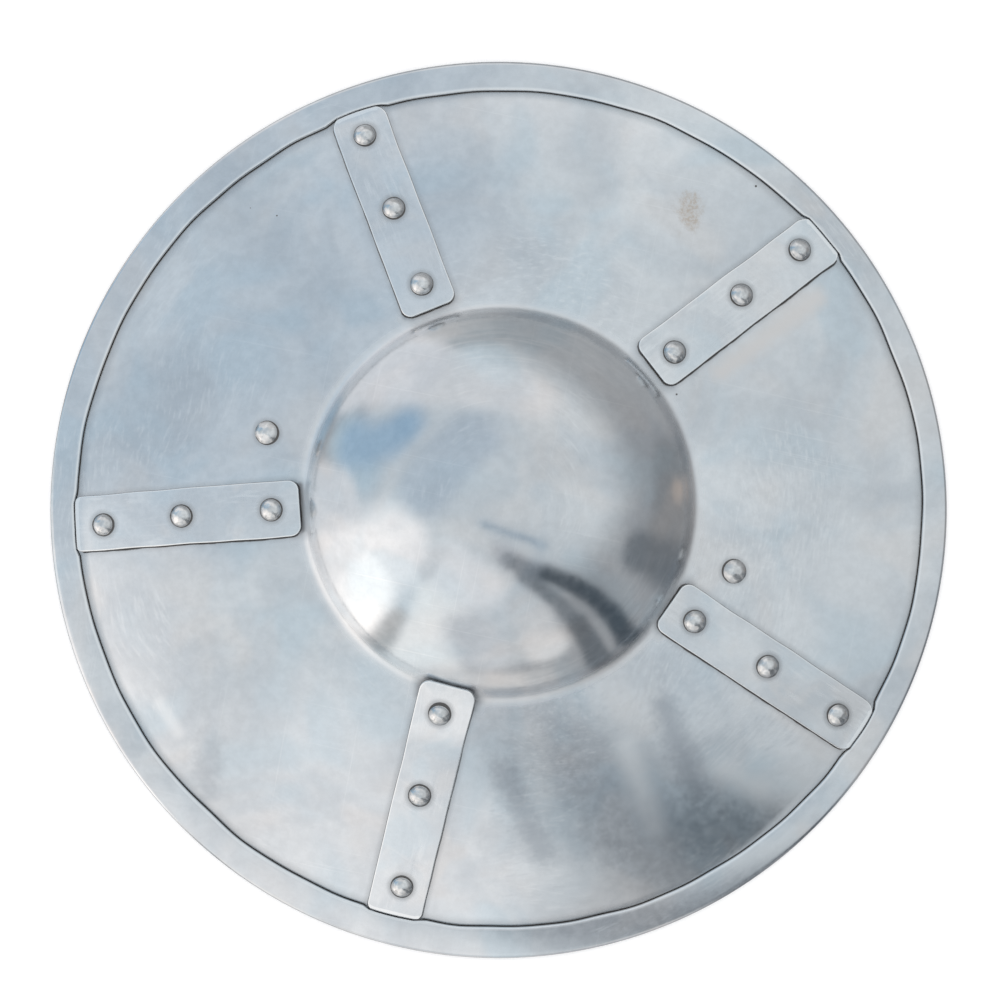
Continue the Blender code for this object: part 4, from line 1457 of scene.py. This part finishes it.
def add_scratches(tree, look, place, angles, share):
    """Thin bright scratches in a few directions."""
    crests = []
    for number, angle in enumerate(angles):
        turned = swing(tree, place, math.radians(angle))
        drawn_out = vector_calc(tree, 'MULTIPLY', turned, (14.0, 1500.0, 14.0))
        moved = vector_calc(tree, 'ADD', drawn_out, (9.1 * number, 3.7 * number, 0.0))
        crests.append(step(tree, clouds(tree, moved, 1.0, 0, 0.5), 0.745, 0.84))
    tint(tree, look, extreme(tree, 'MAXIMUM', crests), STEEL_BRIGHT, share)


def add_stain(tree, look, place, centre, size, colour, strength):
    """A small blotch with a ragged outline and a speckled middle."""
    offset = vector_calc(tree, 'DIVIDE', flat_place(tree, place, centre), (*size, 1.0))
    ragged = calc(tree, 'MULTIPLY_ADD', look["mottle"], 1.7, vector_calc(tree, 'LENGTH', offset))
    speckle = spread(tree, step(tree, clouds(tree, place, 900, 1, 0.7), 0.40, 0.60), 0.45, 1.0)
    seen = times(tree, step(tree, ragged, 2.05, 1.0), times(tree, speckle, strength))
    tint(tree, look, seen, colour)
    roughen(tree, look, seen, 0.3)


def add_band(tree, look, flat, start, end, half_width, colour, strength):
    """A long soft band between two places: mostly painted shade and painted reflections."""
    reach = run_distance(tree, flat, Vector((*start, 0.0)), Vector((*end, 0.0)))
    ragged = calc(tree, 'MULTIPLY_ADD', look["mottle"], half_width * 0.8, reach)
    tint(tree, look, step(tree, ragged, half_width * 1.9, half_width * 0.4), colour, strength)


def more_dirt_and_shade(tree, look, share):
    """Add a share of dirt and painted shade to a look."""
    look["dirt_and_shade"] = share if look["dirt_and_shade"] is None else calc(tree, 'MAXIMUM', look["dirt_and_shade"], share)


def add_specks(tree, look, flat, specks):
    """Small dark pits, each a centre and a radius."""
    for x, y, radius in specks:
        reach = vector_calc(tree, 'DISTANCE', flat, (x, y, 0.0))
        uneven = calc(tree, 'MULTIPLY_ADD', look["mottle"], radius, reach)
        more_dirt_and_shade(tree, look, times(tree, step(tree, uneven, 1.7 * radius, 1.2 * radius), 0.85))


def add_dirt_and_shade_line(tree, look, gap, width, uneven, strength):
    """Dark dirt and painted shade up to a width from where a distance is nought.

    The width may be a number or a socket.
    """
    reach = calc(tree, 'DIVIDE', gap, times(tree, width, uneven))
    more_dirt_and_shade(tree, look, times(tree, step(tree, reach, 1.3, 0.5), strength))


def add_shade(tree, look, gap, width, strength):
    """A soft painted shade that fades out from an edge, darker and duller near it."""
    shade_share = times(tree, step(tree, gap, width, 0.0), strength)
    tint(tree, look, shade_share, HALO_SHADE)
    roughen(tree, look, shade_share, 0.25)


# %% Join a look to the shader
# The colour of dirt and of painted shade, rough and not metal
DIRT_AND_SHADE = (0.030, 0.026, 0.022)


def finish_steel(tree, look, bump_depth, title):
    """One Principled shader: steel, with rough dark dirt and painted shade over it."""
    metal = 1.0
    if look["dirt_and_shade"] is not None:
        metal = calc(tree, 'SUBTRACT', 1.0, look["dirt_and_shade"])
        tint(tree, look, look["dirt_and_shade"], DIRT_AND_SHADE)
        roughen(tree, look, look["dirt_and_shade"], 0.5)
    bump = add_node(tree, 'ShaderNodeBump', Height=look["height"], Strength=1.0, Distance=bump_depth)
    shader = add_node(tree, 'ShaderNodeBsdfPrincipled', Base_Color=look["colour"], Metallic=metal,
                      Roughness=look["roughness"], Normal=bump.outputs[0])
    add_node(tree, 'ShaderNodeOutputMaterial', _0=shader.outputs[0])
    print(title, "has", len(tree.nodes), "nodes")


# %% [markdown]
# ## The finish of the plate
#
# On the plate all the layers come together. The boss was polished on its own centre, in fine rings,
# and is smoother than the cone. The wheel never quite reached the foot of the boss, so a narrow ring
# there stays dull; that ring is also painted paler, a painted light against the shade in the fillet.
# The hem's lip is painted bright, partly wear and partly a painted highlight, and its cut wall is
# dark down to the crevice, partly dirt and partly painted shade.

# %% Where the plate is stained and pitted, and where shade and reflections are painted on it
# Greys of painted shade and painted dark reflections, then a rust stain's colour
SHADE_AND_DARK_REFLECTION = (0.36, 0.39, 0.43)
SHADED = (0.20, 0.21, 0.23)
RUST = (0.50, 0.40, 0.31)
STAIN = ((72.0 * MM, 113.0 * MM), (5.6 * MM, 9.0 * MM))
# Each band in millimetres: from and to, its half width, its colour and how strong it is. The dark
# ones are painted shade at the inner ends of straps 1 and 5 and painted reflections of the stand's
# arms and a window bar; the bright steel ones are painted reflections of bright things.
BANDS = (
    ((83.0, 51.5), (120.0, 80.0), 4.6, STEEL_WARM, 0.80),
    ((-35.0, 72.6), (-20.0, 78.0), 1.5, SHADE_AND_DARK_REFLECTION, 0.70),
    ((-74.0, 9.2), (-73.2, -7.2), 1.3, SHADED, 0.90),
    ((-4.0, -122.0), (42.0, -128.0), 8.0, SHADE_AND_DARK_REFLECTION, 0.20),
    ((1.7, -99.0), (16.0, -129.0), 6.0, SHADE_AND_DARK_REFLECTION, 0.55),
    ((62.0, -74.0), (75.0, -105.0), 6.0, SHADE_AND_DARK_REFLECTION, 0.62),
    ((-109.0, -88.0), (-110.0, -105.0), 5.5, SHADE_AND_DARK_REFLECTION, 0.32),
    ((12.5, -84.0), (17.0, -105.0), 6.5, STEEL_BRIGHT, 0.55),
    ((47.5, -89.0), (58.5, -119.0), 5.5, STEEL_BRIGHT, 0.80),
    ((84.0, -97.0), (98.0, -107.0), 5.5, STEEL_BRIGHT, 0.45),
    ((-128.0, -73.0), (-121.0, -84.0), 3.0, STEEL_BRIGHT, 0.45),
)
# Each speck in millimetres: its centre and its radius
SPECKS = ((97.4, 122.6, 0.42), (-83.6, 111.0, 0.34), (-93.8, 114.1, 0.22), (66.4, 43.2, 0.40))


def metres(*millimetres):
    """Lengths in millimetres turned into metres."""
    return tuple(length * MM for length in millimetres)


# %% Steel for the plate
BRUSHED = 0.165
BOSS_POLISH = -0.065
FOOT_HALF_WIDTH = 3.6 * MM
BUMP = 0.010 * MM
BACK_STEEL = (0.34, 0.345, 0.35)
# The back reads the front's stains and specks this far away, where there are none
BACK_AWAY = (1.0, 0.0, 0.0)


def finish_plate():
    """The plate's steel."""
    tree = shader_tree(plate_steel)
    place = object_place(tree)
    look = cloudy_steel(tree, place, 0.0, BRUSHED)
    flat = flat_place(tree, place)
    back = calc(tree, 'SUBTRACT', 1.0, mark(tree, "front_side"))
    front_place = vector_calc(tree, 'MULTIPLY_ADD', back, BACK_AWAY, place)
    front_flat = flat_place(tree, front_place)
    boss_flat = flat_place(tree, place, BOSS_SHIFT)
    boss_reach = vector_calc(tree, 'LENGTH', boss_flat)
    on_boss = step(tree, boss_reach, FILLET_CENTRE_RADIUS, BOSS_EDGE[0])

    pressed = step(tree, clouds(tree, place, 15, 1, 0.5), 0.45, 0.66)
    swirled = vector_calc(tree, 'MULTIPLY_ADD', look["bend"], (0.5, 0.5, 0.0), flat)
    on_cone = round_axis(tree, swirled, 140, 760)
    drawn_out = mixed(tree, on_boss, on_cone, round_axis(tree, boss_flat, 24, 900))
    add_strokes(tree, look, drawn_out, spread(tree, pressed, 0.12, 1.0), 0.28)
    add_scratches(tree, look, place, (12, 101), 0.13)
    add_stain(tree, look, front_place, *STAIN, RUST, 0.62)
    for start, end, half_width, colour, strength in BANDS:
        add_band(tree, look, front_flat, metres(*start), metres(*end), half_width * MM,
                 colour, strength)
    roughen(tree, look, on_boss, BOSS_POLISH)

    hem_gap, strap_gap = mark(tree, "hem_gap"), mark(tree, "strap_gap")
    strap_dirt = mark(tree, "strap_dirt")
    foot_middle = FILLET_CENTRE_RADIUS - FILLET_RADIUS / 2
    foot = calc(tree, 'ABSOLUTE', calc(tree, 'SUBTRACT', boss_reach, foot_middle))
    dull = step(tree, foot, FOOT_HALF_WIDTH, 0.0)
    round_foot = step(tree, foot, 2.0 * FOOT_HALF_WIDTH, FOOT_HALF_WIDTH)
    roughen(tree, look, dull, 0.30)
    roughen(tree, look, times(tree, round_foot, step(tree, strap_gap, 5.0 * MM, 2.0 * MM)), 0.30)
    # Painted light: the dull ring at the boss's foot is also painted paler, against the shade in the
    # fillet
    tint(tree, look, dull, STEEL_BRIGHT, 0.35)

    hem = step(tree, mark(tree, "hem_share"), 0.02, 0.05)
    uneven = spread(tree, clouds(tree, place, 110, 2, 0.7), 0.1, 2.0)
    beside = calc(tree, 'MULTIPLY_ADD', hem, FAR, hem_gap)
    wall = calc(tree, 'MULTIPLY_ADD', calc(tree, 'SUBTRACT', 1.0, hem), FAR, hem_gap)
    # Painted shade: soft dark, duller halos beside the hem and beside each strap
    add_shade(tree, look, beside, 4.0 * MM, 0.30)
    add_shade(tree, look, strap_gap, 2.6 * MM, 0.26)
    # The crevice under the hem and its cut wall: dark dirt, and painted shade where shade falls there
    tight = step(tree, strap_gap, 1.5 * MM, 0.6 * MM)
    add_dirt_and_shade_line(tree, look, beside, 0.26 * MM, uneven, spread(tree, tight, 1.0, 0.25))
    wall_width = spread(tree, tight, 0.66 * MM, 0.14 * MM)
    add_dirt_and_shade_line(tree, look, wall, wall_width, 1.0, spread(tree, tight, 1.0, 0.5))
    # The line beside each strap: a little dirt, and a painted shadow under its lower edge and inner end
    strap_width = spread(tree, strap_dirt, 0.10 * MM, 0.62 * MM)
    strap_width = times(tree, strap_width, spread(tree, on_boss, 1, 0.7))
    uncovered = step(tree, strap_gap, -1.8 * MM, -0.8 * MM)
    seen = times(tree, spread(tree, strap_dirt, 0.35, 0.95), uncovered)
    add_dirt_and_shade_line(tree, look, strap_gap, strap_width, uneven, seen)
    # The hem's lip painted bright: partly wear, partly a painted highlight on its round
    lip = times(tree, step(tree, wall, 2.3 * MM, 1.5 * MM), step(tree, wall, 0.9 * MM, 1.2 * MM))
    tint(tree, look, lip, STEEL_BRIGHT, 0.50)
    # Round each grip rivet: a soft painted shade, and a thin ring of dirt and painted shade at its foot
    around = calc(tree, 'SUBTRACT', nearest_axis(tree, front_flat, grip_places), GRIP_HEAD)
    add_shade(tree, look, around, 2.2 * MM, 0.35)
    add_dirt_and_shade_line(tree, look, around, 0.24 * MM, uneven, 0.85)
    add_specks(tree, look, front_flat, [metres(*speck) for speck in SPECKS])

    roughen(tree, look, back, 0.12)
    tint(tree, look, back, BACK_STEEL, 0.35)
    finish_steel(tree, look, BUMP, "the plate's steel")


finish_plate()

# %% [markdown]
# ## The finish of the straps, the rivets and the grip
#
# The straps were cut from the same sheet and ground along their length before they were bent, so their
# strokes run lengthwise, not round the shield. They stand proud and are handled most, so they are a
# little paler. Their filed edges are painted bright, partly wear and partly a painted highlight on the
# round, and their cut walls are darkened, partly dirt and partly painted shade. Round every rivet lies
# a soft painted shade, with a thin ring of dirt and painted shade at its foot.
#
# The rivets were hammered and never polished. Their faces are dull and uneven, and a painted shade
# darkens them towards the foot, where a thin ring of dirt and painted shade lies. The grip is forged
# and oiled: dark, scaly in the hollows and rubbed to steel where a hand closes on it.

# %% Steel for the straps
STRAP_PALE = (0.80, 0.82, 0.84)


def along_straps(tree, place):
    """A place for noise that is drawn out along whichever strap it is on."""
    turned = swing(tree, place, times(tree, mark(tree, "heading"), -1.0))
    return vector_calc(tree, 'MULTIPLY', turned, (90.0, 700.0, 90.0))


def finish_straps():
    """The straps' steel."""
    tree = shader_tree(strap_steel)
    place = object_place(tree)
    look = cloudy_steel(tree, vector_calc(tree, 'MULTIPLY', place, (1.9, 1.9, 1.9)), 0.53, 0.20)
    flat = flat_place(tree, place)
    pressed = step(tree, clouds(tree, place, 40, 1, 0.5), 0.35, 0.65)
    add_strokes(tree, look, along_straps(tree, place), spread(tree, pressed, 0.25, 0.9), 0.45)
    add_scratches(tree, look, place, (34, 97), 0.14)
    tint(tree, look, 0.25, STRAP_PALE)

    rivets = [rivet for strap in straps for rivet in strap["rivets"]]
    around = calc(tree, 'SUBTRACT', nearest_axis(tree, flat, rivets), STRAP_HEAD)
    uneven = spread(tree, clouds(tree, place, 300, 2, 0.7), 0.2, 1.9)
    # Round each rivet: a soft painted shade, and a thin ring of dirt and painted shade at its foot
    add_shade(tree, look, around, 2.4 * MM, 0.42)
    add_dirt_and_shade_line(tree, look, around, 0.24 * MM, uneven, 0.85)
    edge = mark(tree, "edge_gap")
    # The eased edges painted bright: partly wear, partly a painted highlight on the round
    bright = times(tree, step(tree, edge, 0.55 * MM, 0.30 * MM), step(tree, edge, -0.15 * MM, 0.0))
    tint(tree, look, bright, STEEL_BRIGHT, 0.7)
    # The cut walls and underside darkened: dirt and painted shade
    more_dirt_and_shade(tree, look, times(tree, step(tree, edge, -0.05 * MM, -0.35 * MM), 0.22))
    finish_steel(tree, look, BUMP, "the straps' steel")


for piece, strap in zip(strap_pieces, straps):
    store_marks(piece.data, "heading", np.full(len(piece.data.vertices), strap["heading"]))
finish_straps()

# %% Steel for the rivets
RIVET_HOLLOW = (0.60, 0.605, 0.61)
RIVET_CREST = (0.74, 0.745, 0.75)
# A painted shade that darkens a rivet towards its foot
RIVET_FOOT_SHADE = (0.26, 0.26, 0.265)


def finish_rivets():
    """The rivets' dull hammered steel."""
    tree = shader_tree(rivet_steel)
    place = object_place(tree)
    dents = clouds(tree, place, 520, 1, 0.6)
    mottle = clouds(tree, place, 1900, 2, 0.6)
    colour = mixed(tree, step(tree, dents, 0.34, 0.68), RIVET_HOLLOW, RIVET_CREST)
    look = {"colour": colour, "roughness": spread(tree, mottle, 0.17, 0.32), "dirt_and_shade": None,
            "height": calc(tree, 'MULTIPLY_ADD', mottle, 0.4, dents)}
    rise = mark(tree, "rise")
    # Painted shade darkening each head and tail towards its foot, and a thin ring of dirt and painted
    # shade
    tint(tree, look, step(tree, rise, 1.3 * MM, 0.3 * MM), RIVET_FOOT_SHADE, 0.36)
    add_dirt_and_shade_line(tree, look, rise, 0.15 * MM, spread(tree, dents, 0.3, 1.8), 0.85)
    finish_steel(tree, look, 0.018 * MM, "the rivets' steel")


finish_rivets()

# %% Steel for the grip
SCALE_DARK = (0.19, 0.19, 0.194)
SCALE_PALE = (0.26, 0.26, 0.265)
RUBBED = (0.40, 0.40, 0.405)


def finish_grip():
    """The grip's dark forged steel, rubbed bright where the hand goes."""
    tree = shader_tree(grip_steel)
    place = object_place(tree)
    middle = vector_calc(tree, 'DISTANCE', flat_place(tree, place), (*grip_middle, 0.0))
    scale = clouds(tree, place, 75, 4, 0.55)
    mottle = clouds(tree, place, 700, 2, 0.6)
    colour = mixed(tree, step(tree, scale, 0.30, 0.70), SCALE_DARK, SCALE_PALE)
    look = {"colour": colour, "roughness": spread(tree, mottle, 0.42, 0.62), "dirt_and_shade": None,
            "height": calc(tree, 'MULTIPLY_ADD', mottle, 0.4, scale)}
    rubbed = times(tree, step(tree, middle, 50 * MM, 25 * MM), step(tree, scale, 0.20, 0.65))
    tint(tree, look, rubbed, RUBBED, 0.6)
    roughen(tree, look, rubbed, -0.16)
    add_scratches(tree, look, place, (-16, 74), 0.30)
    finish_steel(tree, look, 0.12 * MM, "the grip's steel")


finish_grip()

# %% [markdown]
# ## Tying the pieces to the imported model
#
# Nothing moves on a buckler, so the imported model has one body and every piece rides on it. Each fine
# piece also names the plain nodes that it stands for, so that no part is drawn twice: one mesh holds
# all fifteen strap rivets, and stands for fifteen nodes.

# %% Each piece rides on the one body and stands for its nodes
pieces = {
    plate: ("plate_steel", ["shield_plate"]),
    grip: ("grip_steel", ["hand_grip"]),
    grip_rivets: ("rivet_steel", ["grip_rivet_left", "grip_rivet_right"]),
    strap_rivets: ("rivet_steel", [f"strap_{number}_rivet_{where}" for number in range(1, STRAP_COUNT + 1)
                                   for where in RIVET_PLACES]),
}
for number, piece in enumerate(strap_pieces, start=1):
    pieces[piece] = ("strap_steel", [f"strap_{number}"])
for piece, (slot, nodes) in pieces.items():
    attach(piece, ROOT)
    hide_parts(*nodes)
    print(piece.name, "stands for", ", ".join(nodes))

# %% [markdown]
# ## The floor, the light and the camera
#
# Polished steel has hardly any colour of its own. What it shows is the room, squeezed into the boss as
# into a ball, so a plain white surrounding would leave it looking like grey plastic. A studio puts
# white cards and dark flags round such a piece. Here they are soft panels on the sky: a blue gap
# between two pale ones, a bright window low on one side, a dim side opposite it, and the dark arms
# of a stand. Each panel follows a line of directions. A direction is told by its heading, which is
# measured like an angle on the floor, and its lean off straight up. On a ball, the place that shows
# a direction leans half as far, and that is how to find where a panel will show.
#
# Only what is reflected in the steel looks at the panels. The floor and the background see one even
# light, which keeps them plain, and renders faster.

# %% A pale floor
FLOOR_DROP = 0.1 * MM
FLOOR_REACH = 8.0
floor_mesh = bpy.data.meshes.new("floor")
corners = [(x * FLOOR_REACH, y * FLOOR_REACH, -FLOOR_DROP)
           for x, y in ((-1, -1), (1, -1), (1, 1), (-1, 1))]
floor_mesh.from_pydata(corners, [], [(0, 1, 2, 3)])
floor = new_object("floor", floor_mesh)
floor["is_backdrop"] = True
floor.visible_glossy = False
floor_paint = bpy.data.materials.new("pale floor")
floor_mesh.materials.append(floor_paint)
tree = shader_tree(floor_paint)
paint = add_node(tree, 'ShaderNodeBsdfPrincipled', Base_Color=(0.9, 0.9, 0.9, 1), Roughness=0.8,
                 Emission_Color=(1.0, 1.0, 1.0, 1.0), Emission_Strength=0.3)
add_node(tree, 'ShaderNodeOutputMaterial', _0=paint.outputs[0])

# %% The room that the steel shows
SKY = (0.825, 0.872, 0.895)
PLAIN_LIGHT = (0.93, 0.93, 0.94)
# Each panel: its line of (heading, lean) points in degrees, its half width and soft edge, its colour
PANELS = (
    ("ground", ((0, 180),), 86, 12, (0.42, 0.42, 0.43)),
    ("far ground", ((98, 112),), 17, 9, (0.62, 0.62, 0.62)),
    ("far haze", ((75, 58), (100, 62), (122, 74)), 7.5, 10.5, (0.96, 0.96, 0.96)),
    ("left haze", ((125, 88), (135, 108)), 12, 9, (0.94, 0.95, 0.97)),
    ("dim sky", ((112, 36), (140, 34), (168, 38)), 8.5, 10.5, (0.66, 0.74, 0.81)),
    ("blue haze", ((158, 94), (163, 84), (167, 74)), 4, 12, (0.60, 0.74, 0.83)),
    ("blue gap", ((141, 63), (149, 66), (156, 76), (157, 86)), 3, 12, (0.43, 0.62, 0.80)),
    ("left wall", ((182, 90), (182, 108)), 11.2, 6.8, (0.98, 0.99, 1.0)),
    ("window glow", ((202, 58), (205, 84), (207, 108)), 11.8, 11.2, (1.25, 1.21, 1.18)),
    ("window", ((211, 80), (214, 91), (216, 108)), 5, 10, (1.65, 1.56, 1.48)),
    ("warm wall", ((240, 56), (244, 76), (246, 108)), 9.2, 6.8, (1.24, 1.20, 1.15)),
    ("warm ceiling", ((236, 42), (256, 44)), 8, 9, (1.10, 1.09, 1.08)),
    ("front floor", ((262, 112), (290, 112)), 14.2, 6.8, (0.90, 0.88, 0.86)),
    ("faint bar", ((220, 40), (224, 54)), 2, 2.5, (0.90, 0.90, 0.90)),
    ("window bar", ((228, 80), (229, 108)), 1.6, 3.4, (0.66, 0.64, 0.62)),
    ("front wall", ((258, 70), (264, 82)), 6.5, 10.5, (0.84, 0.85, 0.86)),
    ("right haze", ((326, 34), (358, 37), (22, 40), (38, 32)), 6, 10, (0.78, 0.82, 0.84)),
    ("dim side", ((316, 86), (335, 92), (350, 98), (20, 104), (60, 108)), 22.5, 29, (0.46, 0.47, 0.48)),
    ("front light", ((285, 56), (288, 82)), 5.5, 6.5, (0.88, 0.87, 0.86)),
    ("side floor", ((350, 94), (8, 98)), 10.2, 6.8, (0.35, 0.355, 0.36)),
    ("side wall", ((341, 77), (339, 112)), 4.8, 6.8, (0.21, 0.23, 0.25)),
    ("tan door", ((4, 101),), 2.5, 3, (0.60, 0.52, 0.46)),
    ("thin cable", ((228, 13), (268, 13), (288, 15.5), (305, 20), (312, 25), (316, 31)), 0.7, 1.5,
     (0.34, 0.46, 0.57)),
    ("arm's shadow", ((272, 24), (284, 30)), 3, 4.5, (0.70, 0.71, 0.73)),
    ("second arm", ((288, 38), (296, 48), (301, 60), (303, 75)), 2.2, 2.4, (0.25, 0.27, 0.29)),
    ("second arm", ((303, 75), (303, 90), (302, 110)), 2.9, 2.3, (0.17, 0.19, 0.21)),
    ("first arm", ((279, 29), (293, 35), (304, 42)), 2.7, 3.2, (0.30, 0.33, 0.36)),
    ("first arm", ((304, 42), (309, 48), (313, 57), (315.5, 69), (315.5, 86), (313, 110)), 2.9, 2.2,
     (0.08, 0.10, 0.12)),
)
world = bpy.data.worlds.new("studio")
bpy.context.scene.world = world
world.cycles.sampling_method = 'NONE'
tree = shader_tree(world)
looking = tree.nodes.new('ShaderNodeTexCoord').outputs["Generated"]


def apart(degrees):
    """How far apart two unit directions lie that are so many degrees apart."""
    return 2 * math.sin(math.radians(min(degrees, 180)) / 2)


def panel_mask(points, half_width, soft):
    """1 on a panel that follows a line of directions, fading to 0 over its soft edge."""
    axes = [direction(*point) for point in points]
    reaches = [run_distance(tree, looking, start, end) for start, end in zip(axes, axes[1:])]
    reaches = reaches or [vector_calc(tree, 'DISTANCE', looking, tuple(axes[0]))]
    return step(tree, extreme(tree, 'MINIMUM', reaches), apart(half_width + soft), apart(half_width))


light = SKY
for title, points, half_width, soft, colour in PANELS:
    light = mixed(tree, panel_mask(points, half_width, soft), light, colour)
print("panels:", ", ".join(title for title, *_ in PANELS))
room = add_node(tree, 'ShaderNodeBackground', Color=light, Strength=1.0)
plain = add_node(tree, 'ShaderNodeBackground', Color=(*PLAIN_LIGHT, 1.0), Strength=1.0)
on_steel = tree.nodes.new('ShaderNodeLightPath').outputs["Is Glossy Ray"]
shown = add_node(tree, 'ShaderNodeMixShader', _0=on_steel, _1=plain.outputs[0], _2=room.outputs[0])
add_node(tree, 'ShaderNodeOutputWorld', _0=shown.outputs[0])
bpy.context.scene.view_settings.view_transform = 'Standard'

# %% [markdown]
# The camera looks straight down on the shield from a metre and a half, far enough that the boss hides
# little of the cone, with a long lens that fills the picture. It stands a few millimetres off the
# rim's middle, nearly over the boss's own.

# %% The camera
CAMERA_PLACE = (0.52 * MM, 3.77 * MM, 1.5)
CAMERA_LENS = 142.2
camera_data = bpy.data.cameras.new("camera")
camera_data.lens = CAMERA_LENS
camera_data.sensor_width = 36.0
camera = new_object("camera", camera_data)
camera.location = CAMERA_PLACE
bpy.context.scene.camera = camera

# %% [markdown]
# ## Measuring the size again
#
# The fine surfaces may change how the shield looks, never how big it is. The box is measured again
# and printed, as the first one was: both should be 340 mm across and about 67 mm high.

# %% Measure the box again and print it
visual_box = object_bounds()
sizes = {"cad": [list(map(float, corner)) for corner in cad_box],
         "visual": [list(map(float, corner)) for corner in visual_box]}
print("visual box, mm:", [[round(value / MM, 2) for value in corner] for corner in sizes["visual"]])
